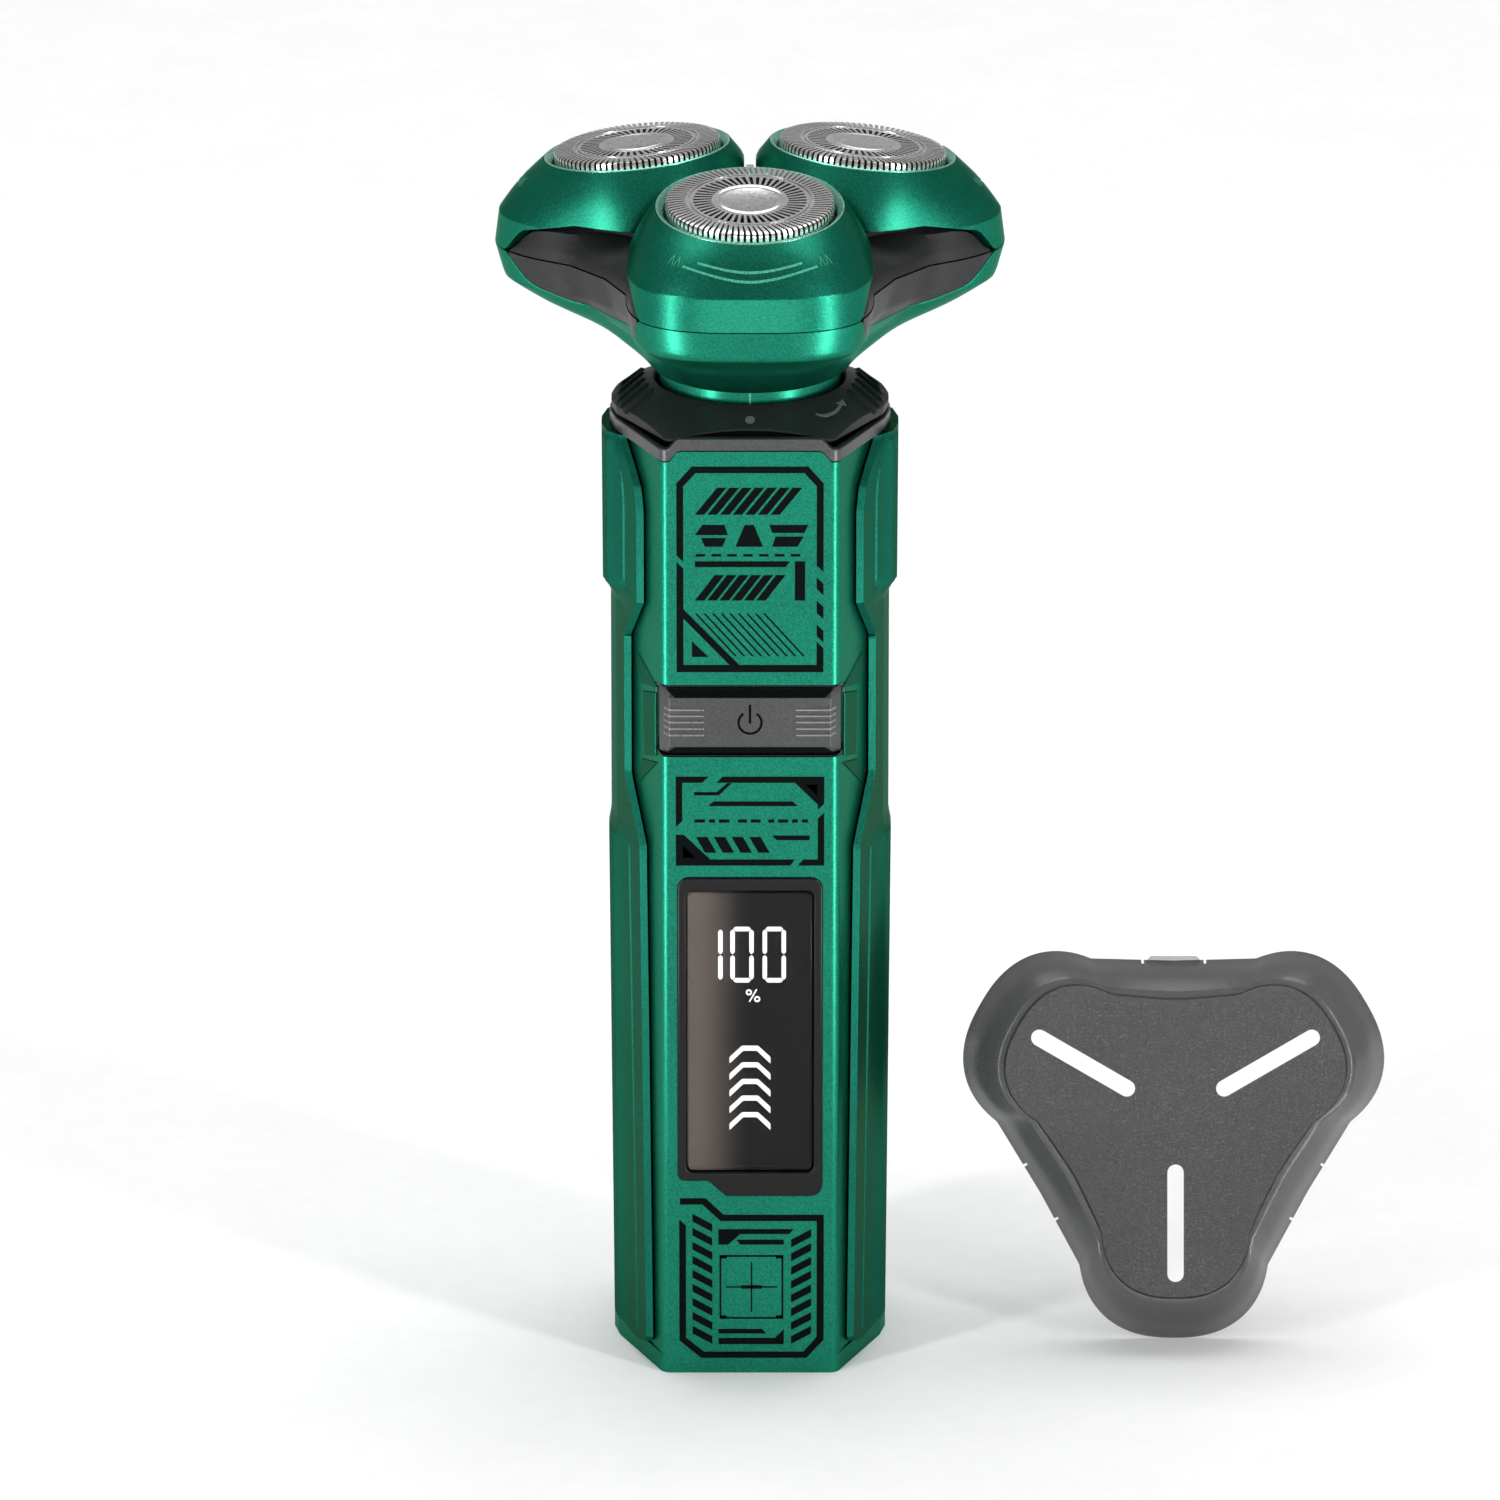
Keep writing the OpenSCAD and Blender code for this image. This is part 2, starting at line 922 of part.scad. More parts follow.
// A spur gear's outline with one tooth centred on angle turn
module gear_outline(teeth, turn) {
  pitch_r = gear_module * teeth / 2;
  root_r = pitch_r - 1.15 * gear_module;
  tip = pitch_r + 0.85 * gear_module;
  step = 360 / teeth;
  polygon([
    for (i = [0:teeth - 1], c = [[root_r, -0.3], [tip, -0.12], [tip, 0.12], [root_r, 0.3]])
      let (a = turn + step * (i + c[1]))
      [c[0] * cos(a), c[0] * sin(a)]
  ]);
}

module sun_gear() {
  color("white")
    union() {
      translate([0, 0, gear_z])
        linear_extrude(gear_t)
          gear_outline(sun_teeth, sun_tooth_angle);
      tube(4.6, 3.2, sun_low, coupling_z + coupling_h + dog_h + 0.6);
      translate([0, 0, coupling_z + coupling_h + dog_h + 0.5])
        cylinder(r = 4.6, h = gear_z - coupling_z - coupling_h - dog_h - 0.4);
      for (k = [0:2])
        rotate([0, 0, 75 + 120 * k])
          block([2.15, -0.6, sun_low + 0.2], [3.6, 0.6, coupling_z + coupling_h + dog_h]);
    }
}

// The gear's gap faces the central gear's tooth, wherever that tooth stands
module drive_gear(k) {
  direction = 120 * k - 90;
  ratio = sun_teeth / drive_teeth;
  turn = direction + 180 + (direction - sun_tooth_angle) * ratio + 180 / drive_teeth;
  color("white")
    translate([gear_distance * cos(direction), gear_distance * sin(direction), 0])
      union() {
        translate([0, 0, gear_z])
          linear_extrude(gear_t)
            gear_outline(drive_teeth, turn);
        translate([0, 0, base_plate_z + 0.9])
          cylinder(r = 1, h = gear_z - base_plate_z - 0.8);
        translate([0, 0, gear_z + gear_t - tiny])
          cylinder(r = spindle_r, h = 3.6);
        translate([0, 0, gear_z + gear_t + 3.5])
          cylinder(r = 0.8, h = ball_z - gear_z - gear_t - 3.5);
        translate([0, 0, ball_z])
          sphere(r = ball_r);
      }
}

// ---- Head cover ----

module upper_frame() {
  levels = [
    [seam_z, 20.2, 29.8], [frame_top, 13.4, 29.4], [frame_top, 15.2, 31], [seam_z, mid_r, 31.4]
  ];
  color(graphite)
    ring_shell([for (level = levels) ring(head_outline, level)]);
}

// Three arms inside the frame that carry the retainer
module frame_spider() {
  color(graphite)
    difference() {
      union() {
        translate([0, 0, frame_z])
          cylinder(r = 6, h = frame_t);
        for (k = [0:2])
          between_lobes(k)
            block([3, -2.4, frame_z], [13.8, 2.4, frame_z + frame_t]);
      }
      translate([0, 0, 150])
        cylinder(r = 1.7, h = 10);
    }
}

// A tilted ring of the cutter opening, in the lobe's own frame
function rim_ring(r, depth) = [
  for (t = [0:10:350]) [
    cutter_r + r * cos(t) * cos(tilt) - depth * sin(tilt),
    r * sin(t),
    cutter_z - r * cos(t) * sin(tilt) - depth * cos(tilt)
  ]
];

function pod_ring(half, tip, z) = [
  for (t = [0:10:350])
    let (p = squircle(t, half, lobe_power))
    [tip - half + p[0], p[1], z]
];

module pod(k) {
  inner = lobe_half - pod_wall;
  color(green)
    lobe_frame(k)
      difference() {
        ring_shell([
          pod_ring(inner, tip_r - 0.6 - pod_wall, crease_z - 0.4),
          rim_ring(rim_out, rim_drop + 1.9), rim_ring(rim_out, rim_drop),
          pod_ring(lobe_half - 0.1, tip_r - 0.6, crease_z),
          pod_ring(lobe_half, tip_r, seam_z),
          pod_ring(inner, tip_r - pod_wall, seam_z)
        ]);
        // flat gaps to the two neighbouring pods
        for (side = [-1, 1])
          rotate([0, 0, side * 60])
            translate([0, side * (far - pod_gap), cutter_z])
              cube([4 * far, 2 * far, 2 * far], center = true);
        // the flanks end above the webs
        for (side = [-1, 1])
          rotate([0, 0, side * 60])
            rotate([90, 0, 90])
              translate([0, 0, -far])
                linear_extrude(2 * far)
                  polygon([
                    [-side * 17.5, seam_z - 1], [-side * 17.5, seam_z + 0.1], [-side * 14.5, 153.6],
                    [-side * 7, 155.6], [side * 20, 156], [side * 20, seam_z - 1]
                  ]);
      }
}

module pod_rims() {
  color(light_green)
    for (k = [0:2])
      cutter_frame(k)
        tube(rim_out - 0.08, rim_in, -rim_drop - 0.9, -rim_drop);
}

// Rings under the cutters, joined by a plate that passes below the pods
module cutter_retainer() {
  color(grey)
    difference() {
      union() {
        for (k = [0:2]) {
          cutter_frame(k)
            tube(12.2, 9.8, guard_low - cutter_travel - 1.8, guard_low - cutter_travel - 0.7);
          lobe_frame(k)
            block([5.2, -2.5, retainer_z], [7.1, 2.5, retainer_z + 3.2]);
        }
        translate([0, 0, retainer_z])
          cylinder(r = 6.6, h = retainer_t);
      }
      translate([0, 0, retainer_z - 1])
        cylinder(r = 1.4, h = 12);
    }
}

module retainer_screw() {
  color(grey)
    union() {
      translate([0, 0, 151])
        cylinder(r = 4.2, h = 2);
      translate([0, 0, 152.9])
        cylinder(r = 1.4, h = retainer_z + retainer_t - 152.9);
      block([-4, -0.7, 150.4], [4, 0.7, 151.1]);
    }
}

// The grip of the head cover, between the two rear pods
module rear_catch() {
  color([0.55, 0.55, 0.55])
    union() {
      block([-3, 14, frame_top], [3, 17.4, frame_top + 0.6]);
      block([-0.55, 14, frame_top + 0.5], [0.55, 17.4, frame_top + 2.3]);
    }
}

// ---- Cutters ----

module guard(k) {
  color(steel)
    cutter_frame(k)
      rotate_extrude()
        polygon([
          [0, 0], [4.55, 0], [4.55, -0.2], [4.75, -0.2], [4.75, 0], [7.8, 0], [7.8, -0.25],
          [8.1, -0.25], [8.1, 0], [guard_r - 0.4, 0], [guard_r, -0.4],
          [guard_r, guard_low + 0.6], [12, guard_low + 0.6], [12, guard_low],
          [guard_r - 0.5, guard_low], [guard_r - 0.5, -0.5], [0, -0.5]
        ]);
}

module blade_carrier(k) {
  color([0.1, 0.1, 0.1])
    cutter_frame(k)
      rotate_extrude()
        polygon([
          [0, -1.2], [9.6, -1.2], [9.6, -2.4], [3, -2.4], [3, -6.4], [1.75, -6.4],
          [1.75, -1.9], [0, -1.9]
        ]);
}

module blade_ring(k) {
  color(steel)
    cutter_frame(k)
      union() {
        tube(10.1, 8.2, -1.2, -0.8);
        tube(7.4, 5, -1.2, -0.8);
      }
}

// ---- Protective cover ----

module cover_slot(k) {
  width = 2.2;
  lobe_frame(k)
    translate([0, 0, -3])
      linear_extrude(6) {
        for (r = [7.5, 21])
          translate([r, 0])
            circle(r = width / 2);
        translate([7.5, -width / 2])
          square([13.5, width]);
      }
}

module protective_cover() {
  w = cover_wall;
  levels = [
    [0, 15.7, 24.3], [-0.7, 16.5, 25.1], [-4, 18.8, 27.6], [-7.4, 20.2, 29.3],
    [-cover_depth, cover_mid, cover_tip], [-cover_depth, cover_mid - w, cover_tip - w],
    [-7.2, 20.1 - w, 29.2 - w], [-3.8, 18.6 - w, 27.4 - w], [-w, 16 - w, 24.6 - w]
  ];
  color([0.25, 0.25, 0.25, 0.7])
    translate([cover_x, cover_y, cover_z])
      rotate([90 - cover_lean, 0, 0])
        difference() {
          ring_solid([for (level = levels) ring(cover_outline, level)]);
          for (k = [0:2])
            cover_slot(k);
        }
}

front_housing();
rear_housing();
side_panel(-1);  // side_panel_left
side_panel(1);  // side_panel_right
base_cap();
base_screws();
charging_socket();
socket_tongue();
top_trim();
collar();
coupling_seat();
shaft_seal();
display_bezel();
display_lens();
display_segments();
display_module();
button_bezel();
tact_switch();
main_board();
battery_cell();
battery_contacts();
inner_chassis();
motor_can();
motor_bracket();
motor_screws();
power_button();
motor_shaft();
motor_armature();
drive_coupling();
neck_ring();
lower_shell();
lower_webs();
gear_base();
gear_plate();
gear_plate_screws();
sun_gear();
drive_gear(0);  // drive_gear_front
drive_gear(1);  // drive_gear_right
drive_gear(2);  // drive_gear_left
upper_frame();
frame_spider();
pod(0);  // pod_front
pod(1);  // pod_right
pod(2);  // pod_left
pod_rims();
cutter_retainer();
retainer_screw();
rear_catch();
guard(0);  // guard_front
guard(1);  // guard_right
guard(2);  // guard_left
blade_carrier(0);  // blade_carrier_front
blade_carrier(1);  // blade_carrier_right
blade_carrier(2);  // blade_carrier_left
blade_ring(0);  // blade_ring_front
blade_ring(1);  // blade_ring_right
blade_ring(2);  // blade_ring_left
protective_cover();
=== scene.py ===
import json
from math import atan2, copysign, cos, hypot, pi, radians, sin, tan

import bmesh
import bpy
from mathutils import Matrix, Vector


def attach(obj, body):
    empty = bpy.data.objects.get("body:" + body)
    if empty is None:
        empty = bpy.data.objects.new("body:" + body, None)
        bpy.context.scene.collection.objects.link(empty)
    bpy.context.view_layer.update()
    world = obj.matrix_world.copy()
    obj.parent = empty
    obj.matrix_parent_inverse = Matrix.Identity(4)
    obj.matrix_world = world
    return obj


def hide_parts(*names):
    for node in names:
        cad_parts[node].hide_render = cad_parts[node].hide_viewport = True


# A rotary electric shaver and its protective cover. Sizes are in millimetres unless
# a name or comment says otherwise. +Z is up and the front of the handle faces -Y.

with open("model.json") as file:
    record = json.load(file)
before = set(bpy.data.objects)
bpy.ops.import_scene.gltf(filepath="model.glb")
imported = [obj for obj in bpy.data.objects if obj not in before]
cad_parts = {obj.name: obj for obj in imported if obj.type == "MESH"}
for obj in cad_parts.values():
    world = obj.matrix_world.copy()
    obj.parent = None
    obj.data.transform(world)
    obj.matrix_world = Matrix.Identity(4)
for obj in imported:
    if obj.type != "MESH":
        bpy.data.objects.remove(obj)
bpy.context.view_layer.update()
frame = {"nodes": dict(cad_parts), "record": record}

MM = 0.001
LOBES = {"front": -90, "right": 30, "left": 150}
BODY_OF = {
    node: body
    for body, nodes in frame["record"]["behaviour"]["bodies"].items()
    for node in nodes
}
SLOT_OF = {s["node"]: s["material_slot"] for s in frame["record"]["subparts"]}


# ---- Numbers and curves ----

def mix(a, b, share):
    return a + (b - a) * share


def blend_step(low, high, value):
    share = min(max((value - low) / (high - low), 0), 1)
    return share * share * (3 - 2 * share)


def look_up(table, value):
    """Straight-line interpolation in a table of (value, result) pairs."""
    if value <= table[0][0]:
        return table[0][1]
    for (a, first), (b, second) in zip(table, table[1:]):
        if value <= b:
            return mix(first, second, (value - a) / (b - a))
    return table[-1][1]


def steps(low, high, count):
    return [mix(low, high, i / count) for i in range(count + 1)]


def curve(points, per_part=6):
    """A smooth line through points, with any number of coordinates."""
    ends = [points[0]] + list(points) + [points[-1]]
    line = []
    for i in range(1, len(ends) - 2):
        a, b, c, d = ends[i - 1:i + 3]
        for j in range(per_part):
            t = j / per_part
            line.append([
                0.5 * (2 * q + (r - p) * t + (2 * p - 5 * q + 4 * r - s) * t * t
                       + (3 * q - p - 3 * r + s) * t ** 3)
                for p, q, r, s in zip(a, b, c, d)
            ])
    return line + [list(points[-1])]


def rounded(points, radii, count=5):
    """A closed outline with its corners rounded."""
    outline = []
    n = len(points)
    for i in range(n):
        corner = Vector(points[i])
        radius = radii[i] if isinstance(radii, (list, tuple)) else radii
        if radius <= 0:
            outline.append(tuple(corner))
            continue
        to_last = (Vector(points[i - 1]) - corner).normalized()
        to_next = (Vector(points[(i + 1) % n]) - corner).normalized()
        half = to_last.angle(to_next) / 2
        start = corner + to_last * radius / tan(half)
        end = corner + to_next * radius / tan(half)
        middle = corner + (to_last + to_next).normalized() * radius / sin(half)
        a, b = start - middle, end - middle
        sweep = a.angle(b)
        for j in range(count + 1):
            t = j / count
            arm = (a * sin((1 - t) * sweep) + b * sin(t * sweep)) / sin(sweep)
            outline.append(tuple(middle + arm))
    return outline


def rounded_box(half, low, high, radius):
    return rounded([(-half, low), (half, low), (half, high), (-half, high)], radius)


def narrow_down(low, high, inside, rounds=24):
    """Halves a range again and again, where inside(low) holds and inside(high) doesn't."""
    for _ in range(rounds):
        middle = (low + high) / 2
        if inside(middle):
            low = middle
        else:
            high = middle
    return low, high


def turned(point, degrees):
    """A point turned about the vertical axis."""
    c, s = cos(radians(degrees)), sin(radians(degrees))
    return (point[0] * c - point[1] * s, point[0] * s + point[1] * c, *point[2:])


# ---- Building pieces ----

class Shape:
    """Points and faces of one piece."""

    def __init__(self):
        self.points = []
        self.faces = []
        self.kinds = []

    def add(self, points, faces, kind=0):
        first = len(self.points)
        self.points += [tuple(p) for p in points]
        self.faces += [[first + i for i in face] for face in faces]
        self.kinds += [kind] * len(faces)

    def loft(self, rings, closed=True, caps=True, wrap=False, kind=0):
        """Joins rings of points. closed joins a ring's ends, wrap the last ring to the first."""
        n, m = len(rings[0]), len(rings)
        faces = []
        for j in range(m if wrap else m - 1):
            for i in range(n if closed else n - 1):
                k, r = (i + 1) % n, (j + 1) % m
                faces.append([j * n + i, j * n + k, r * n + k, r * n + i])
        if caps and not wrap:
            faces += [list(range(n))[::-1], [(m - 1) * n + i for i in range(n)]]
        if not closed:
            faces += [[j * n for j in range(m)][::-1], [j * n + n - 1 for j in range(m)]]
        self.add([p for ring in rings for p in ring], faces, kind)

    def prism(self, outline, place, low, high, kind=0):
        """An outline pushed from one depth to another. place turns (u, v, depth) into a point."""
        self.loft([[place(u, v, d) for u, v in outline] for d in (low, high)], kind=kind)

    def spin(self, profile, place=lambda x, y, z: (x, y, z), count=96, kind=0):
        """A closed profile of (radius, height) turned about an axis."""
        turns = [2 * pi * i / count for i in range(count)]
        self.loft(
            [[place(r * cos(t), r * sin(t), z) for t in turns] for r, z in profile],
            wrap=True, kind=kind,
        )


def on_front(x, z, y):
    return (x, y, z)


def mesh_of(name, shape):
    mesh = bpy.data.meshes.new(name)
    mesh.from_pydata([[MM * c for c in p] for p in shape.points], [], shape.faces)
    mesh.polygons.foreach_set("material_index", shape.kinds)
    tidy = bmesh.new()
    tidy.from_mesh(mesh)
    bmesh.ops.remove_doubles(tidy, verts=tidy.verts, dist=4e-7)
    bmesh.ops.dissolve_degenerate(tidy, edges=tidy.edges, dist=4e-7)
    bmesh.ops.recalc_face_normals(tidy, faces=tidy.faces)
    tidy.to_mesh(mesh)
    tidy.free()
    return mesh


def new_object(name, mesh):
    obj = bpy.data.objects.new(name, mesh)
    bpy.context.scene.collection.objects.link(obj)
    return obj


def carve(obj, shape):
    tool = new_object("tool", mesh_of("tool", shape))
    change = obj.modifiers.new("change", "BOOLEAN")
    change.object = tool
    change.operation = "DIFFERENCE"
    change.solver = "EXACT"
    graph = bpy.context.evaluated_depsgraph_get()
    result = bpy.data.meshes.new_from_object(obj.evaluated_get(graph))
    obj.modifiers.remove(change)
    obj.data = result
    bpy.data.objects.remove(tool)


def piece(name, shape, finish=None, body=None, slot=None, cuts=(), bevel=0.0, angle=32, rounds=2):
    """Builds one piece. One that is named after a CAD node takes its place, body, slot and finish.
    finish is a material or a list of them, one for each kind of face."""
    slot = slot or SLOT_OF[name]
    finish = finish or FINISH[slot]
    finish = finish if isinstance(finish, list) else [finish]
    obj = new_object(name, mesh_of(name, shape))
    for paint in finish:
        obj.data.materials.append(paint)
    for shape_to_cut in cuts:
        carve(obj, shape_to_cut)
    obj.data.shade_smooth()
    obj.data.set_sharp_from_angle(angle=radians(angle))
    if bevel:
        edge = obj.modifiers.new("edge", "BEVEL")
        edge.width = bevel * MM
        edge.segments = rounds
        edge.limit_method = "ANGLE"
        edge.angle_limit = radians(angle)
        edge.harden_normals = True
        edge.use_clamp_overlap = True
    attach(obj, body or BODY_OF[name])
    if name in SLOT_OF:
        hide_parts(name)


# ---- Materials ----

def fill(node, values):
    for socket, value in values.items():
        node.inputs[socket].default_value = value


def material(
    name, colour, rough, metal=0.0, speckle=0.12, grain=2500, bump=0.05, coat=0.0,
    patch=0.06, stretch=(1, 1, 1), specular=0.5, alpha=1.0, glow=0.0, tint=None, glance=None,
):
    """A finish with fine grain, broad uneven patches and an uneven roughness.
    A painted sheen is given as (colour, from_x, to_x): a second colour that fades in across the piece, in
    metres, so the first colour stands in for a reflection on one side."""
    made = bpy.data.materials.new(name)
    made.use_nodes = True
    nodes, links = made.node_tree.nodes, made.node_tree.links
    surface = nodes["Principled BSDF"]

    place = nodes.new("ShaderNodeTexCoord")
    scale = nodes.new("ShaderNodeMapping")
    fill(scale, {"Scale": stretch})
    links.new(place.outputs["Object"], scale.inputs["Vector"])

    fine = nodes.new("ShaderNodeTexNoise")
    fill(fine, {"Scale": grain, "Detail": 2})
    links.new(scale.outputs["Vector"], fine.inputs["Vector"])
    broad = nodes.new("ShaderNodeTexNoise")
    fill(broad, {"Scale": 55, "Detail": 3})
    links.new(place.outputs["Object"], broad.inputs["Vector"])

    def spread(source, low, high):
        ramp = nodes.new("ShaderNodeMapRange")
        fill(ramp, {"From Min": 0.3, "From Max": 0.7, "To Min": low, "To Max": high})
        links.new(source.outputs["Fac"], ramp.inputs["Value"])
        return ramp.outputs["Result"]

    def multiply(a, b):
        product = nodes.new("ShaderNodeMath")
        product.operation = "MULTIPLY"
        links.new(a, product.inputs[0])
        links.new(b, product.inputs[1])
        return product.outputs["Value"]

    def blend(first, second, share):
        both = nodes.new("ShaderNodeMix")
        both.data_type = "RGBA"
        sockets = [s for s in both.inputs if s.type == "RGBA"]
        for socket, value in zip(sockets, (first, second)):
            if isinstance(value, tuple):
                socket.default_value = (*value, 1)
            else:
                links.new(value, socket)
        links.new(share, both.inputs["Factor"])
        return [s for s in both.outputs if s.type == "RGBA"][0]

    level = multiply(spread(fine, 1 - speckle, 1 + speckle), spread(broad, 1 - patch, 1 + patch))
    shade = nodes.new("ShaderNodeVectorMath")
    shade.operation = "SCALE"
    # Painted sheen: the base colour fades across the piece into a second colour, standing in for a
    # reflection.
    if tint:
        other, x0, x1 = tint
        split = nodes.new("ShaderNodeSeparateXYZ")
        links.new(place.outputs["Object"], split.inputs["Vector"])
        across = nodes.new("ShaderNodeMapRange")
        across.interpolation_type = "SMOOTHSTEP"
        fill(across, {"From Min": x0, "From Max": x1})
        links.new(split.outputs["X"], across.inputs["Value"])
        links.new(blend(tuple(colour), tuple(other), across.outputs["Result"]), shade.inputs[0])
    else:
        shade.inputs[0].default_value = colour
    links.new(level, shade.inputs["Scale"])
    links.new(shade.outputs["Vector"], surface.inputs["Base Color"])

    links.new(
        multiply(spread(fine, rough * 0.9, rough * 1.1), spread(broad, 0.92, 1.08)),
        surface.inputs["Roughness"],
    )
    if bump:
        relief = nodes.new("ShaderNodeBump")
        fill(relief, {"Strength": bump, "Distance": 0.0001})
        links.new(fine.outputs["Fac"], relief.inputs["Height"])
        links.new(relief.outputs["Normal"], surface.inputs["Normal"])

    surface.inputs["Metallic"].default_value = metal
    surface.inputs["Specular IOR Level"].default_value = specular
    surface.inputs["Coat Weight"].default_value = coat
    if glance:
        surface.inputs["Specular Tint"].default_value = (*glance, 1)
    surface.inputs["Coat Roughness"].default_value = 0.25
    surface.inputs["Alpha"].default_value = alpha
    if glow:
        surface.inputs["Emission Color"].default_value = (*colour, 1)
        surface.inputs["Emission Strength"].default_value = glow
    return made


# name, colour, roughness, metal, speckle, grain, bump and anything else
FINISH = {}
for *looks, more in (
    ("green_paint", (0.009, 0.185, 0.115), 0.33, 0.92, 0.28, 4200, 0.12, dict(coat=0.08,
     glance=(0.14, 0.5, 0.4))),
    # dark_green_paint: the housing's green made darker, painted shade on the side and cheek panels.
    ("dark_green_paint", (0.007, 0.135, 0.09), 0.32, 0.92, 0.24, 4200, 0.1, dict(coat=0.05,
     glance=(0.08, 0.33, 0.27))),
    ("light_green_paint", (0.25, 0.6, 0.46), 0.28, 0.8, 0.12, 4200, 0.05, {}),
    ("graphite_plastic", (0.015, 0.0155, 0.0165), 0.46, 0, 0.25, 3000, 0.12, dict(specular=0.22)),
    ("grey_plastic", (0.066, 0.067, 0.069), 0.34, 0.7, 0.2, 3600, 0.1, {}),
    ("light_grey_plastic", (0.4, 0.4, 0.4), 0.35, 0, 0.08, 2600, 0.05, {}),
    ("black_gloss", (0.004, 0.004, 0.004), 0.2, 0, 0.1, 1500, 0.02, dict(specular=0.25)),
    # lens_glass: warm brown-grey on the left fading to near-black by the middle, a painted reflection on the
    # glass.
    ("lens_glass", (0.13, 0.108, 0.095), 0.14, 0, 0.05, 900, 0, dict(specular=0.3, alpha=0.5,
     tint=((0.006, 0.006, 0.006), -0.0085, 0.0))),
    ("white_light", (0.95, 0.96, 1.0), 0.4, 0, 0.02, 1200, 0, dict(glow=5.0)),
    ("screw_steel", (0.5, 0.5, 0.51), 0.3, 1, 0.1, 1800, 0.05, {}),
    ("cutter_steel", (0.72, 0.71, 0.7), 0.22, 1, 0.1, 2600, 0.04, {}),
    ("motor_steel", (0.5, 0.5, 0.48), 0.38, 0.9, 0.15, 1600, 0.05, dict(stretch=(1, 1, 0.08))),
    ("copper_winding", (0.55, 0.24, 0.09), 0.35, 0.8, 0.3, 2200, 0.05, dict(stretch=(1, 1, 0.05))),
    ("board_green", (0.015, 0.13, 0.05), 0.35, 0, 0.3, 700, 0.05, dict(coat=0.2)),
    ("battery_wrap", (0.05, 0.14, 0.32), 0.28, 0, 0.08, 500, 0.05, dict(coat=0.2)),
    ("white_plastic", (0.74, 0.74, 0.7), 0.42, 0, 0.05, 1800, 0.05, {}),
    ("black_rubber", (0.016, 0.016, 0.016), 0.6, 0, 0.2, 2400, 0.15, {}),
    ("smoked_plastic", (0.035, 0.034, 0.033), 0.28, 0, 0.5, 3400, 0.35, dict(alpha=0.8)),
):
    FINISH[looks[0]] = material(*looks, **more)

PRINT = material("print_black", (0.002, 0.003, 0.003), 0.65, speckle=0.2, grain=3800, bump=0.08,
    specular=0.03)
MARK = material("mark_grey", (0.11, 0.112, 0.115), 0.4, speckle=0.08, grain=2500)
# Light grey for the button's ribs: a painted highlight along them.
RIB_HIGHLIGHT = material("rib_grey_painted_highlight", (0.34, 0.34, 0.34), 0.3, metal=0.7, speckle=0.1, grain=2600)
SMOKED_RIM = material("smoked_rim", (0.045, 0.045, 0.044), 0.22, speckle=0.3, grain=3400, bump=0.15,
    alpha=0.8)
# Near-black for the step between the cover's rim band and its plateau: painted shade along the plateau's
# edge.
SMOKED_STEP_SHADE = material("smoked_step_painted_shade", (0.01, 0.01, 0.01), 0.3, speckle=0.2, grain=3400, bump=0.1,
    alpha=0.9)
# Darkened steel for the blade rings under the guards: painted shade beneath the guards.
BLADE_STEEL_SHADED = material("blade_steel_painted_shade", (0.05, 0.05, 0.052), 0.35, metal=0.9, speckle=0.15, grain=2600)
# Near-black for the collar's eave underside, skirt and foot: painted shade under the eave.
EAVE_SHADE = material("eave_painted_shade", (0.003, 0.003, 0.003), 0.6, speckle=0.2, grain=3000,
    specular=0.05)
EDGE_GREEN = material("edge_green", (0.07, 0.42, 0.27), 0.28, metal=0.4, speckle=0.2, grain=3800,
    bump=0.05, coat=0.2)
DISC_STEEL = material("disc_steel", (0.5, 0.5, 0.5), 0.3, metal=0.9, speckle=0.2, grain=2000)
SMOKED_THIN = material(
    "smoked_thin", (0.16, 0.16, 0.16), 0.3, speckle=0.1, grain=3400, bump=0.1, alpha=0.4)
# The display module's face: brown-grey on the left fading to black by the middle, a painted reflection seen
# through the lens.
DISPLAY_BACK_SHEEN = material(
    "display_back_painted_sheen", (0.2, 0.175, 0.155), 0.4, speckle=0.05, grain=1200, bump=0.0,
    tint=((0.008, 0.008, 0.008), -0.0085, 0.0), specular=0.1)

for node_name, node in frame["nodes"].items():
    node.data.materials.clear()
    node.data.materials.append(FINISH[SLOT_OF[node_name]])



# ---- Handle ----

HEIGHT, DEPTH, FACE, CORE = 127.5, 18.5, 11.5, 17.3
RISE = 1.5
FACET_OUT = (0.937, -0.348)


def rise(x):
    """How much the middle of the front and back stands above the side walls."""
    return RISE * (1 - blend_step(9.1, 10.9, abs(x)))


def half_section(half, depth, face, radius, edge=0.75):
    """The handle's octagon from its right side round the front to its left side."""
    right = [(half, 0), (half, -1.4), (half - edge, -4.9), (face, -depth)]
    path = rounded(right + [(-x, y) for x, y in right[::-1]], [0, 0, 0, radius, radius, 0, 0, 0], 6)
    at = next(i for i in range(len(path) - 1) if path[i][0] > 0 > path[i + 1][0])
    steps_across = [face * x / FACE for x in (9.9, 9.7, 9.4, 9.1, 8.8, 0, -8.8, -9.1, -9.4, -9.7, -9.9)]
    return path[:at + 1] + [(x, -depth) for x in steps_across] + path[at + 1:]


def whole_section(*sizes):
    front = half_section(*sizes)
    return front[:-1] + [(-x, -y) for x, y in front[:-1]]


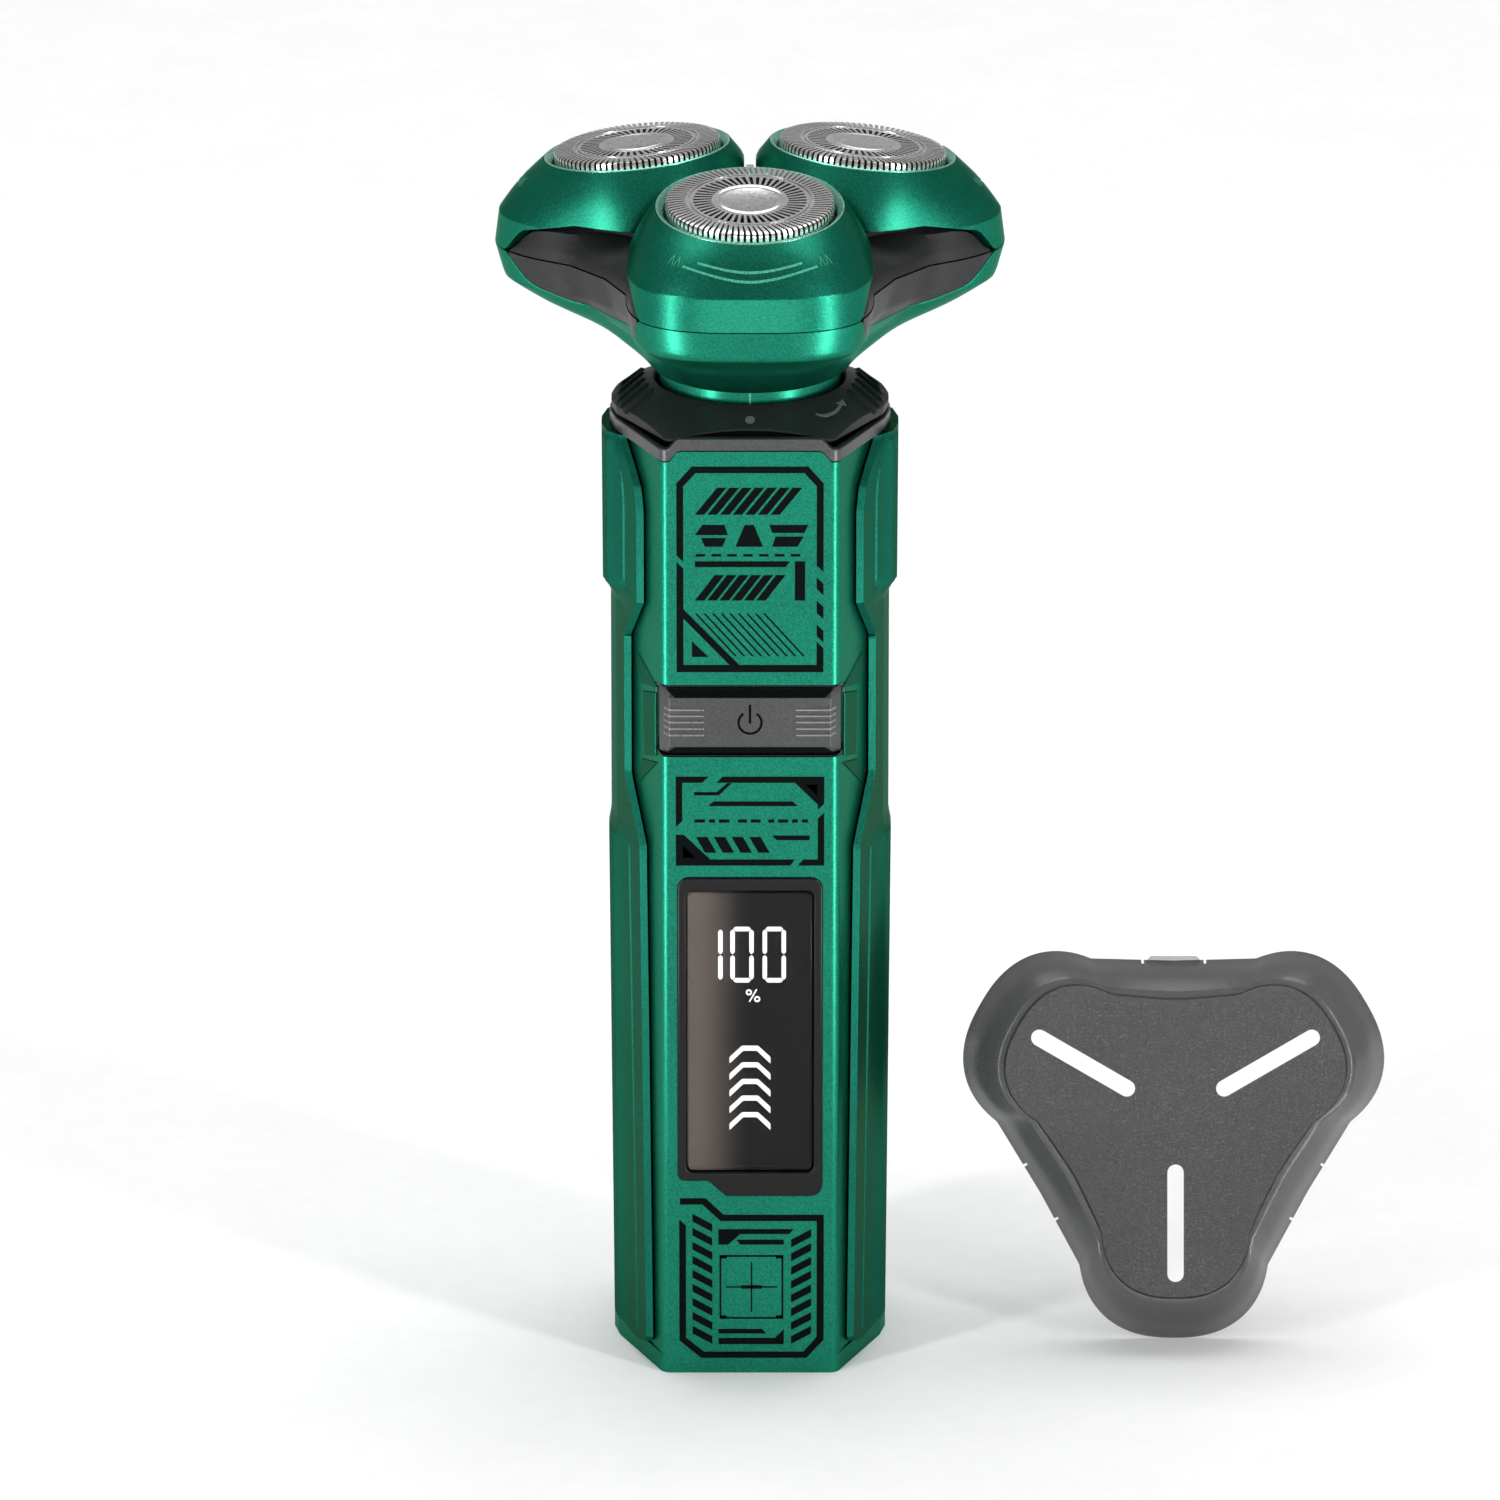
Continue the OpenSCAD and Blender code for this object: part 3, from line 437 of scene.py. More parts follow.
def housing(side):
    """One half of the housing. side is 1 for the front half and -1 for the rear half."""
    inner = half_section(CORE - 1.6, DEPTH - 1.6, FACE - 0.8, 1.0)[::-1]
    core = half_section(CORE, DEPTH, FACE, 1.5) + inner
    foot = half_section(18.15, DEPTH, FACE, 1.5) + inner

    def level(outline, z, lift=0):
        return [(x, side * y, z + lift * rise(x)) for x, y in outline]

    shape = Shape()
    shape.loft([level(foot, 0), level(foot, 2.5), level(core, 2.5), level(core, HEIGHT, 1)])
    return shape


def facet_y(x):
    """Depth of the slanted facet of the housing at x."""
    return -DEPTH + (abs(x) - FACE) * 13.6 / 5.05


def facet_bar(shape, side, start, end, width, height):
    """A low ridge on the housing's slanted facet between two (x, z) points."""
    out = Vector((*FACET_OUT, 0))
    a, b = (Vector((x, facet_y(x), z)) for x, z in (start, end))
    across = (b - a).cross(out).normalized() * width / 2
    rows = []
    for p in (a, b):
        rows.append([p - across - out * 0.1, p - across * 0.5 + out * height,
                     p + across * 0.5 + out * height, p + across - out * 0.1])
    shape.loft([[(side * q.x, q.y, q.z) for q in row] for row in rows])


front = housing(1)
for side in (1, -1):
    # grip ridges above and below the waist's cheek panels
    for i in range(5):
        z = 104.6 - 1.75 * i
        facet_bar(front, side, (14.15 - 0.08 * i, z - 3.2), (12.75, z + 0.9 - 0.5 * i), 0.5, 0.22)
    for i in range(6):
        z = 74.2 + 1.6 * i
        facet_bar(front, side, (13.2 + 0.1 * i, z - 2.2), (12.5, z + 0.4), 0.5, 0.2)

bezel_cut, button_cut = Shape(), Shape()
BEZEL = [(-9.6, 27.35), (-5.5, 27.35), (-3.2, 25.2), (9.6, 25.2), (9.6, 70.2), (-9.6, 70.2)]
bezel_cut.prism(rounded(BEZEL, [1.0, 0.8, 0.8, 1.6, 1.6, 1.6]), on_front, -25, -15)
button_cut.prism(rounded_box(12.5, 86.9, 96.9, 0.8), on_front, -25, -14.4)
piece("front_housing", front, cuts=[bezel_cut, button_cut], bevel=0.18, angle=38)
piece("rear_housing", housing(-1), bevel=0.18, angle=38)

# Cheek panels beside the button, each framed by two wedges
cheeks = Shape()
for side in (1, -1):
    for line, lift in (
        ([(12.25, 86.4), (13.75, 85.2), (13.95, 93.9), (12.25, 95.2)], 0.22),
        ([(12.05, 96.0), (14.15, 94.7), (14.9, 97.4), (14.75, 98.6)], 0.16),
        ([(12.05, 85.7), (14.1, 84.3), (14.75, 81.3), (14.55, 80.6)], 0.16),
    ):
        cheeks.loft([
            [(side * (x + h * FACET_OUT[0]), facet_y(x) + h * FACET_OUT[1], z) for x, z in line]
            for h in (-0.1, lift)
        ])
# The cheek panels take the darker green: painted shade.
piece("cheek_panels", cheeks, body="handle", slot="dark_green_paint", bevel=0.12)

# Side panels: a thick edge that faces forward, a fine groove and three ridges at the side
PANEL_EDGE = [
    (2.5, 14.2), (3, 13.3), (4, 12.9), (73, 13.6), (81.3, 15.6), (100.6, 15.6), (106.4, 13.9),
    (119, 13.9), (122, 14.2), (124, 14.9), (125.5, 15.5), (127.0, 16.1), (127.5, 16.2),
]
PANEL_SIDE = [(0, 18.15), (71.5, 18.7), (73.5, 18.35), (104.5, 18.35), (106.5, 19.4), (127.5, 19.5)]


def window(z, ranges, soft=0.6):
    return max(blend_step(a, a + soft, z) * (1 - blend_step(b - soft, b, z)) for a, b in ranges)


def panel_ring(side, z):
    edge, outer = look_up(PANEL_EDGE, z), look_up(PANEL_SIDE, z)
    edge = min(edge, outer - 1.6)
    root = facet_y(edge)
    lip = (edge + 0.95, root - 0.8)
    corner = (outer - 0.75, -4.9)
    groove = 0.3 * window(z, [(3.4, 72), (107, 124)])
    ridge = 0.22 * window(z, [(0.5, 72), (106, 127)])
    share = look_up([(3, 0.33), (72, 0.42), (107, 0.45)], z)

    def outside(y, lift=0.0):
        if y < corner[1]:
            x = mix(lip[0], corner[0], (y - lip[1]) / (corner[1] - lip[1]))
        else:
            x = mix(corner[0], outer, (y - corner[1]) / 3.5)
        return (min(x + lift, 19.5), y)

    middle = mix(lip[1], corner[1], share)
    front = [(edge, root + 0.02), (edge, root - 1.05), lip]
    front += [outside(middle - 0.3), outside(middle, -groove), outside(middle + 0.3), outside(-5.75)]
    for y in (-5.25, -3.95, -2.65):
        front += [outside(y - 0.5), outside(y - 0.12, ridge), outside(y + 0.12, ridge), outside(y + 0.5)]
    front += [(outer, -1.4)]
    inner = [(CORE + 0.02, 1.4), (CORE - 0.73, 4.9)]
    back = [(x, -y) for x, y in front[::-1]]
    closing = inner[::-1] + [(x, -y) for x, y in inner]
    return [(side * x, y, z) for x, y in front + back + closing]


panel_levels = sorted(set(
    [2.5, 2.75, 3, 3.3, 3.7, 4, 71.5, 72, 73, 73.5, 81.3, 100.6, 104.5, 106.4, 106.5, 107, 119]
    + steps(4, 71, 8) + steps(72, 83, 10) + steps(98, 110, 14) + steps(119, 127.5, 24)
))
# The side panels' darker green slot is painted shade.
for side, name in ((1, "side_panel_right"), (-1, "side_panel_left")):
    shape = Shape()
    shape.loft([panel_ring(side, z) for z in panel_levels])
    piece(name, shape, bevel=0.1, angle=30)

# Trim ring at the top edge
trim = Shape()
outer_line = whole_section(18.4, DEPTH, FACE, 1.5)
inner_line = whole_section(17.4, DEPTH - 1.1, FACE - 0.5, 1.2)
trim.loft([
    [(x, y, z + rise(x) * (abs(y) > 10)) for x, y in line]
    for line, z in ((outer_line, HEIGHT + 0.04), (outer_line, HEIGHT + 1.8),
                    (inner_line, HEIGHT + 1.8), (inner_line, HEIGHT + 0.04))
], wrap=True)
piece("top_trim", trim, bevel=0.22)


# ---- Printed graphics on the front ----

prints = Shape()


def flat(points):
    prints.prism(points, on_front, -DEPTH + 0.04, -DEPTH - 0.03)


def bar(x0, x1, z0, z1, left=0.0, right=0.0):
    """A bar whose ends lean: left and right are how far the upper corners are moved in x."""
    flat([(x0, z0), (x1, z0), (x1 + right, z1), (x0 + left, z1)])


def hatch(x0, x1, z0, z1, count, thick, lean):
    pitch = (x1 - x0 - thick - abs(lean)) / (count - 1)
    for i in range(count):
        x = x0 + i * pitch + max(-lean, 0)
        bar(x, x + thick, z0, z1, lean, lean)


def ladder(x0, x1, z0, z1, count, thick, drop):
    """Slanted rungs in a narrow column. drop is how far they fall from left to right."""
    pitch = (z1 - z0 - thick - abs(drop)) / (count - 1)
    for i in range(count):
        z = z0 + i * pitch + max(drop, 0)
        flat([(x0, z), (x1, z - drop), (x1, z - drop + thick), (x0, z + thick)])


# top block: frame with broken sides
flat([(-9.6, 98.7), (9.6, 98.7), (9.6, 102.0), (8.7, 102.9), (8.7, 99.7), (-9.6, 99.7)])
for low, high in ((103.7, 105.3), (106.9, 108.6), (110.2, 111.8)):
    flat([(8.7, low), (9.6, low - 0.9), (9.6, high - 0.9), (8.7, high)])
flat([(8.7, 113.4), (9.6, 112.5), (9.6, 124.7), (7.6, 127), (-7.6, 127), (-9.6, 124.7), (-9.6, 114.8),
      (-8.7, 113.9), (-8.7, 124.3), (-7.1, 126.1), (7.1, 126.1), (8.7, 124.3)])
flat([(-9.6, 99.7), (-8.7, 99.7), (-8.7, 113.0), (-9.6, 113.9)])
hatch(-7.2, 6.8, 120.4, 124.1, 7, 1.25, 2.9)
bar(-7.2, -2.9, 117.6, 119.0, 1.0, -0.4)
bar(-5.9, -3.6, 116.0, 117.2, -0.5, 0.5)
bar(-1.9, 1.7, 116.0, 119.0, 1.2, -1.2)
bar(2.9, 7.1, 117.9, 119.0, -0.4, 0.5)
bar(2.9, 6.2, 116.0, 117.4, 0.4, 0.8)
for i in range(7):
    bar(-7.1 + 2.07 * i, -5.85 + 2.07 * i, 114.65, 115.0)
bar(-7.2, 4.65, 113.2, 114.0, 0, 0.6)
bar(5.85, 7.2, 108.6, 114.0)
hatch(-7.2, 4.65, 108.6, 112.1, 6, 1.25, 2.6)
hatch(-7.2, 7.2, 100.9, 106.8, 9, 0.3, -5.2)
flat([(-8.7, 107.4), (-8.7, 106.1), (-2.7, 99.7), (-1.4, 99.7)])
flat([(-7.6, 103), (-7.6, 100.8), (-5.4, 100.8)])
# middle block
flat([(-9.75, 84.2), (-9.75, 77.2), (-8.9, 78.0), (-8.9, 83.35), (-6.3, 83.35), (-5.4, 84.2)])
flat([(-9.75, 76.1), (-9.75, 71.8), (5.3, 71.8), (5.9, 72.65), (-5.2, 72.65), (-8.7, 76.1)])
flat([(6.3, 71.8), (9.75, 71.8), (9.75, 79.2), (8.9, 78.4), (8.9, 72.65), (7.0, 72.65)])
flat([(-3.6, 84.2), (-4.4, 83.35), (5.9, 83.35), (8.9, 80.3), (8.9, 79.6), (9.75, 80.4), (9.75, 84.2)])
flat([(7.3, 83.1), (8.8, 83.1), (8.8, 81.6)])
flat([(-8.8, 74.6), (-7.2, 72.9), (-8.8, 72.9)])
flat([(-7.35, 82.05), (-7.35, 81.6), (-4.1, 81.6), (-2.4, 83.3), (-3.0, 83.3), (-4.35, 82.05)])
flat([(-5.5, 80.1), (6.3, 80.1), (5.6, 80.75), (-4.8, 80.75)])
for x0, x1 in ((-7.3, -5.9), (-5.4, -4.6), (-4.1, -2.7), (-1.6, -0.4), (0.1, 1.4), (2.4, 3.2), (3.7, 5.0),
               (5.5, 6.3), (6.8, 7.6)):
    bar(x0, x1, 77.8, 78.25)
hatch(-7.1, 2.6, 73.6, 75.8, 4, 1.5, -1.2)
bar(3.5, 7.85, 75.35, 76.0, -0.6, 0)
# lower block
flat([(-9.3, 24.9), (-9.3, 24.0), (-6.3, 24.0), (-3.9, 21.65), (8.85, 21.65), (8.85, 5.1), (7.1, 3.0),
      (-6.1, 3.0), (-8.5, 5.0), (-8.5, 21.0), (-9.4, 21.9), (-9.4, 4.6), (-6.5, 2.1), (7.5, 2.1), (9.8, 4.7),
      (9.8, 22.55), (-3.5, 22.55), (-5.9, 24.9)])
ladder(-7.65, -5.0, 4.1, 22.7, 9, 1.1, 1.5)
ladder(5.45, 8.13, 4.1, 20.5, 8, 1.1, -1.5)
flat([(-4.2, 18.3), (-4.2, 20.5), (5.8, 20.5), (5.2, 19.8), (-1.3, 19.8), (-2.9, 18.3)])
flat([(-1.3, 18.3), (4.5, 18.3), (4.5, 19.0), (-1.85, 19.0)])
for x0, x1, z0, z1 in ((-4.06, 4.43, 16.55, 16.8), (-4.06, 4.43, 7.7, 7.95), (-4.06, -3.81, 7.95, 16.55),
                       (4.18, 4.43, 7.95, 16.55), (-3.2, 3.6, 12.15, 12.35), (0.1, 0.3, 8.7, 15.8),
                       (-1.2, 1.6, 12.0, 12.15), (-1.2, 1.6, 12.35, 12.5)):
    bar(x0, x1, z0, z1)
for x, z in ((-4.06, 7.7), (3.43, 7.7), (-4.06, 16.3), (3.43, 16.3)):
    bar(x, x + 1.0, z, z + 0.5)
bar(-4.2, 2.2, 5.6, 6.25, 0, -0.6)
flat([(-4.2, 4.07), (4.5, 4.07), (4.5, 6.25), (3.3, 4.96), (-4.2, 4.96)])
piece("front_graphics", prints, PRINT, body="handle", slot="black_gloss", angle=50)


# ---- Display ----

bezel = Shape()
bezel.prism(rounded([(x * 0.995, mix(47.7, z, 0.998)) for x, z in BEZEL], [1.0, 0.8, 0.8, 1.5, 1.5, 1.5]),
            on_front, -16.9, -18.85)
lens_hole = Shape()
lens_hole.prism(rounded_box(8.4, 28.7, 68.3, 0.9), on_front, -20, -16)
piece("display_bezel", bezel, cuts=[lens_hole], bevel=0.3, rounds=3)
lens = Shape()
lens.prism(rounded_box(8.2, 28.9, 68.1, 0.7), on_front, -17.75, -18.7)
piece("display_lens", lens, bevel=0.25)

segments = Shape()


def segment(points):
    segments.prism(points, on_front, -17.56, -17.7)


def digit_bar(x, z, length, upright):
    h, g = 0.29, 0.1
    line = [(g, 0), (g + h, h), (length - g - h, h), (length - g, 0), (length - g - h, -h),
            (g + h, -h)]
    segment([(x - v, z + u) if upright else (x + u, z + v) for u, v in line])


for z in (55.4, 59.0):
    digit_bar(-3.9, z, 3.6, True)
for x in (-2.3, 1.95):
    for z in (55.4, 59.0):
        digit_bar(x, z, 3.6, True)
        digit_bar(x + 2.5, z, 3.6, True)
    for z in (55.4, 62.6):
        digit_bar(x, z, 2.5, False)
circle = [radians(20 * i) for i in range(18)]
for x, z in ((-0.15, 53.7), (0.95, 52.75)):
    segments.loft([
        [(x + r * cos(t), y, z + r * sin(t)) for t in circle]
        for r, y in ((0.4, -17.56), (0.4, -17.7), (0.22, -17.7), (0.22, -17.56))
    ], wrap=True)
segment([(-0.15, 52.4), (0.03, 52.4), (0.95, 54.1), (0.77, 54.1)])
for i in range(5):
    z = 34.3 + 2.35 * i
    segment([(-2.7, z), (-2.7, z + 0.85), (-1.05, z + 2.45), (1.05, z + 2.45), (2.7, z + 0.85), (2.7, z),
             (0.9, z + 1.8), (-0.9, z + 1.8)])
piece("display_segments", segments, angle=50)
module = Shape()
module.prism(rounded_box(8.6, 28.9, 68.1, 0.4), on_front, -14.5, -16.8)
module.prism(rounded_box(8.3, 29.2, 67.8, 0.4), on_front, -16.7, -17.5)
piece("display_module", module, DISPLAY_BACK_SHEEN)


# ---- Power button ----

BUTTON_Z = 91.9
button = Shape()
button_levels = [(-4.5, 18.25), (-3.35, 19.1), (3.35, 19.1), (4.5, 18.25)]
button.loft([
    [(-11.9, -16.1, BUTTON_Z + dz), (-11.9, -17.0, BUTTON_Z + dz), (-10.6, -face, BUTTON_Z + dz),
     (10.6, -face, BUTTON_Z + dz), (11.9, -17.0, BUTTON_Z + dz), (11.9, -16.1, BUTTON_Z + dz)]
    for dz, face in button_levels
])
button.prism(rounded_box(2, BUTTON_Z - 2, BUTTON_Z + 2, 0), on_front, -16.3, -14.3)
# The ribs (kind 1) take the light grey: painted highlight.
for side in (-1, 1):
    for dz in (1.8, 0.95, 0.1, -0.8, -1.7):
        x0, x1 = side * 6.0, side * 11.3
        z = BUTTON_Z + dz
        button.loft([
            [(x, 0.2 - back, z - 0.24), (x, -0.34 - back, z - 0.1), (x, -0.34 - back, z + 0.1),
             (x, 0.2 - back, z + 0.24)]
            for x, back in ((x0, 19.0), (side * 10.55, 19.0), (x1, 17.9))
        ], kind=1)
piece("power_button", button, [FINISH["grey_plastic"], RIB_HIGHLIGHT], bevel=0.16, angle=28)

button_marks = Shape()
# Black strips over the sloped top and bottom ends of the button: partly their black plastic, partly painted
# shade of the recess.
for up in (-1, 1):
    line = [(-11.0, 4.45, 18.33), (11.0, 4.45, 18.33), (9.8, 3.45, 19.07), (-9.8, 3.45, 19.07)]
    button_marks.loft([
        [(x, -face - lift, BUTTON_Z + up * (dz + lift)) for x, dz, face in line] for lift in (-0.05, 0.04)
    ])
arc = [radians(125 + 290 * i / 24) for i in range(25)]
button_marks.prism(
    [(1.67 * cos(t), BUTTON_Z + 1.67 * sin(t)) for t in arc]
    + [(1.35 * cos(t), BUTTON_Z + 1.35 * sin(t)) for t in arc[::-1]], on_front, -19.0, -19.13)
button_marks.prism(rounded_box(0.16, 91.8, 94.4, 0), on_front, -19.0, -19.13)
piece("button_marks", button_marks, PRINT, body="button", slot="black_gloss", angle=50)

surround = Shape()
surround.prism(rounded_box(12.45, 86.95, 96.85, 0.8), on_front, -14.6, -18.45)
opening, sides = Shape(), Shape()
opening.prism(rounded_box(12.15, 87.2, 96.6, 0.6), on_front, -25, -10)
for side in (1, -1):
    corner = [(side * 11.4, -18.7), (side * 14, -18.7), (side * 14, -11.8)]
    sides.loft([[(x, y, z) for x, y in corner] for z in (85, 99)])
piece("button_bezel", surround, cuts=[opening, sides], bevel=0.1)


# ---- Collar and neck ----

BORE, COLLAR_TOP, SLOPE = 12.4, 133.6, 0.49


def outline_radius(outline, turn):
    """Distance from the axis to a closed outline in one direction."""
    dx, dy = cos(turn), sin(turn)
    for (x0, y0), (x1, y1) in zip(outline, outline[1:] + outline[:1]):
        ex, ey = x1 - x0, y1 - y0
        bottom = dx * ey - dy * ex
        if abs(bottom) < 1e-9:
            continue
        distance, share = (x0 * ey - y0 * ex) / bottom, (x0 * dy - y0 * dx) / bottom
        if distance > 0 and -1e-9 <= share <= 1 + 1e-9:
            return distance
    return 0.0


def cone_z(r):
    return COLLAR_TOP - SLOPE * (r - BORE)


eave = whole_section(18.2, 16.6, 10.9, 1.2)
under = whole_section(16.6, 16.0, 10.1, 1.0)
collar = Shape()
turns = [radians(i * 2) for i in range(180)]
rings = [[] for _ in range(8)]
for t in turns:
    c, s = cos(t), sin(t)
    wide, narrow = outline_radius(eave, t), outline_radius(under, t)
    x = wide * c
    foot = mix(131.2, 129.75, blend_step(8.2, 8.9, abs(x)))
    foot = min(foot, cone_z(wide) - 0.3)
    for ring, (r, z) in zip(rings, (
        (BORE, HEIGHT), (BORE, COLLAR_TOP - 0.3), (BORE + 0.3, COLLAR_TOP),
        (mix(BORE, wide, 0.5), cone_z(mix(BORE, wide, 0.5))), (wide, cone_z(wide)), (wide, foot),
        (narrow, foot), (narrow, HEIGHT),
    )):
        ring.append((r * c, r * s, z))
collar.loft(rings[:6], caps=False)
# The eave's underside, skirt and foot take the near-black: painted shade.
collar.loft(rings[5:] + rings[:1], caps=False, kind=1)
RIDGES = [((13.8, 8.3), (17.1, 1.8)), ((13.8, 4.2), (17.4, -0.9)), ((13.6, 0.5), (17.5, -3.5)),
          ((13.1, -2.2), (17.2, -5.5)), ((12.5, -4.6), (16.6, -7.3))]
for side in (1, -1):
    for start, end in RIDGES:
        a, b = Vector(start), Vector(end)
        along = (b - a).normalized()
        across = Vector((-along.y, along.x))
        rows = []
        for share, lift in ((0, 0.03), (0.16, 0.5), (0.9, 0.55), (1, 0.1)):
            p = a + (b - a) * share
            top = cone_z(p.length)
            rows.append([
                (side * (p.x + across.x * w), p.y + across.y * w, top + h)
                for w, h in ((-0.62, -0.25), (-0.1, lift), (0.12, lift), (0.62, -0.25))
            ])
        collar.loft(rows)
piece("collar", collar, [FINISH["graphite_plastic"], EAVE_SHADE], bevel=0.12)

collar_marks = Shape()


def on_cone(x, y, lift):
    return (x, y, cone_z(hypot(x, y)) + lift)


circle = [radians(15 * i) for i in range(25)]
collar_marks.prism(
    [(0.62 * cos(t), -15.1 + 0.62 * sin(t)) for t in circle]
    + [(0.4 * cos(t), -15.1 + 0.4 * sin(t)) for t in circle[::-1]], on_cone, -0.05, 0.04)
hook = curve([(8.6, -12.6), (9.9, -12.3), (11.2, -10.9), (11.9, -9.0)], 5)
collar_marks.prism(
    [(x * 1.012, y * 1.012) for x, y in hook] + [(x * 0.985, y * 0.985) for x, y in hook[::-1]],
    on_cone, -0.05, 0.05)
collar_marks.prism([(11.2, -9.2), (12.6, -8.7), (12.1, -7.6)], on_cone, -0.05, 0.05)
piece("collar_marks", collar_marks, MARK, body="handle", slot="light_grey_plastic", angle=50)

neck = Shape()
neck.spin([(9.7, 129.6), (11.7, 129.6), (11.9, 129.8), (11.9, 131.4), (11.6, 131.5), (11.6, 131.9),
           (11.9, 132.0), (11.9, 135.15), (11.7, 135.3), (10.2, 135.35), (10.2, 137.2), (9.7, 137.2),
           (9.7, 132.95), (10.7, 132.9), (10.7, 131.1), (9.7, 131.05)], count=120)
neck_marks = Shape()
for k in range(3):
    for i in range(-2, 3):
        turn = -90 + 120 * k + 3.2 * i
        low, high = (132.5, 134.9) if i == 0 else (132.5, 133.3)
        neck_marks.loft([
            [turned((r, w, z), turn)
             for r, w in ((11.8, -0.16), (11.95, -0.12), (11.95, 0.12), (11.8, 0.16))]
            for z in (low, high)
        ])
piece("neck_ring", neck, bevel=0.08)
piece("neck_marks", neck_marks, EDGE_GREEN, body="head_base", slot="light_green_paint")


# ---- Head: outline of three lobes ----

SEAM, TIP, MID, HALF = 150.2, 34.2, 22.0, 16.2
CUTTER_R, CUTTER_Z, TILT = 17.2, 162.9, radians(6.85)


def signed_power(value, power):
    return copysign(abs(value) ** power, value)


def lobe_columns(tip, mid, half, power, reach=90, step=3):
    """Columns of the outline as (share, angle): share is 0 between lobes and 1 at a tip."""
    columns = []
    for start in LOBES.values():
        line = []
        for i in range(int(2 * reach / step) + 1):
            t = radians(-reach + step * i)
            x = tip - half + half * signed_power(cos(t), 2 / power)
            y = half * signed_power(sin(t), 2 / power)
            line.append((x, y))
        last = turned(line[0], 120)
        middle = (mid * cos(radians(60)), mid * sin(radians(60)))
        line += [tuple(mix(line[-1][i], middle[i], s) for i in (0, 1)) for s in (0.3, 0.6, 0.85)]
        line += [tuple(mix(middle[i], last[i], s) for i in (0, 1)) for s in (0, 0.15, 0.4, 0.7)]
        columns += [
            ((hypot(x, y) - mid) / (tip - mid), atan2(y, x) + radians(start))
            for x, y in line
        ]
    return columns


HEAD = lobe_columns(TIP, MID, HALF, 3)


def lobe_point(column, level):
    share, turn = column
    r = mix(level[1], level[2], share)
    return (r * cos(turn), r * sin(turn), level[0])


def side_distance(x, y):
    """Distance from the middle plane of the nearest gap between two lobes, and the distance along it."""
    best = None
    for start in LOBES.values():
        turn = radians(start + 60)
        along = x * cos(turn) + y * sin(turn)
        if best is None or along > best[1]:
            best = (abs(-x * sin(turn) + y * cos(turn)), along)
    return best


FLANK = [(-20, 156), (7, 155.6), (14.5, 153.6), (17.5, 150.35), (17.7, SEAM + 0.02)]
WINDOW = [(0, 143.6), (9, 144.8), (14, 146.6), (17.5, 150.1), (17.8, 150.4)]
SHELL_OUT = curve([
    (135.3, 12.9, 13.1), (137.3, 13.8, 16.2), (140.2, 15.4, 20.8), (143.2, 18.4, 28), (145.75, 20.5, 32.75),
], 6) + [[mix(146.05, 150.1, t), mix(20.65, MID, t), mix(33.05, TIP, t)] for t in (0, 0.25, 0.5, 0.75, 1)]
SHELL_IN = curve([
    (135.3, 10.6, 10.6), (139.2, 12, 14.4), (142.2, 13.8, 19.8), (145.2, 16.6, 28.3), (146.8, 18.7, 31),
    (150.1, 20.2, 32.4),
], 6)


def level_at(levels, u):
    i = min(int(u), len(levels) - 2)
    return [mix(a, b, u - i) for a, b in zip(levels[i], levels[i + 1])]


def opening_at(column, levels):
    """How far up the levels a column of the shell reaches before the opening for the web."""
    def below(u):
        x, y, z = lobe_point(column, level_at(levels, u))
        return z - look_up(WINDOW, side_distance(x, y)[0])

    high = len(levels) - 1.0
    if below(high) <= 0:
        return high
    return narrow_down(0.0, high, lambda u: below(u) < 0)[0]


def shell_rows(columns, levels, start, end, count):
    """Rows of points from start to end, each of which gives a level for a column."""
    return [
        [lobe_point(c, level_at(levels, mix(start(c), end(c), j / count))) for c in columns]
        for j in range(count + 1)
    ]


lower = Shape()
lower.loft(
    shell_rows(HEAD, SHELL_IN, lambda c: 0, lambda c: opening_at(c, SHELL_IN), 8)
    + shell_rows(HEAD, SHELL_OUT, lambda c: opening_at(c, SHELL_OUT), lambda c: 0, 26),
    wrap=True,
)
piece("lower_shell", lower, bevel=0.16, angle=40)

webs = Shape()
TOP = len(SHELL_OUT) - 1.0
shown = [opening_at(column, SHELL_OUT) < TOP - 0.01 for column in HEAD]
for first in range(len(HEAD)):
    if not shown[first] or shown[first - 1]:
        continue
    columns = []
    while shown[(first + len(columns)) % len(HEAD)]:
        columns.append(HEAD[(first + len(columns)) % len(HEAD)])
    outside = shell_rows(
        columns, SHELL_OUT, lambda c: min(opening_at(c, SHELL_OUT) + 0.06, TOP), lambda c: TOP, 10)
    inside = shell_rows(columns, SHELL_IN, lambda c: TOP, lambda c: opening_at(c, SHELL_IN), 4)
    outside = [[(0.996 * x, 0.996 * y, z) for x, y, z in row] for row in outside]
    webs.loft(outside + inside, closed=False, wrap=True)
piece("lower_webs", webs, bevel=0.12, angle=40)


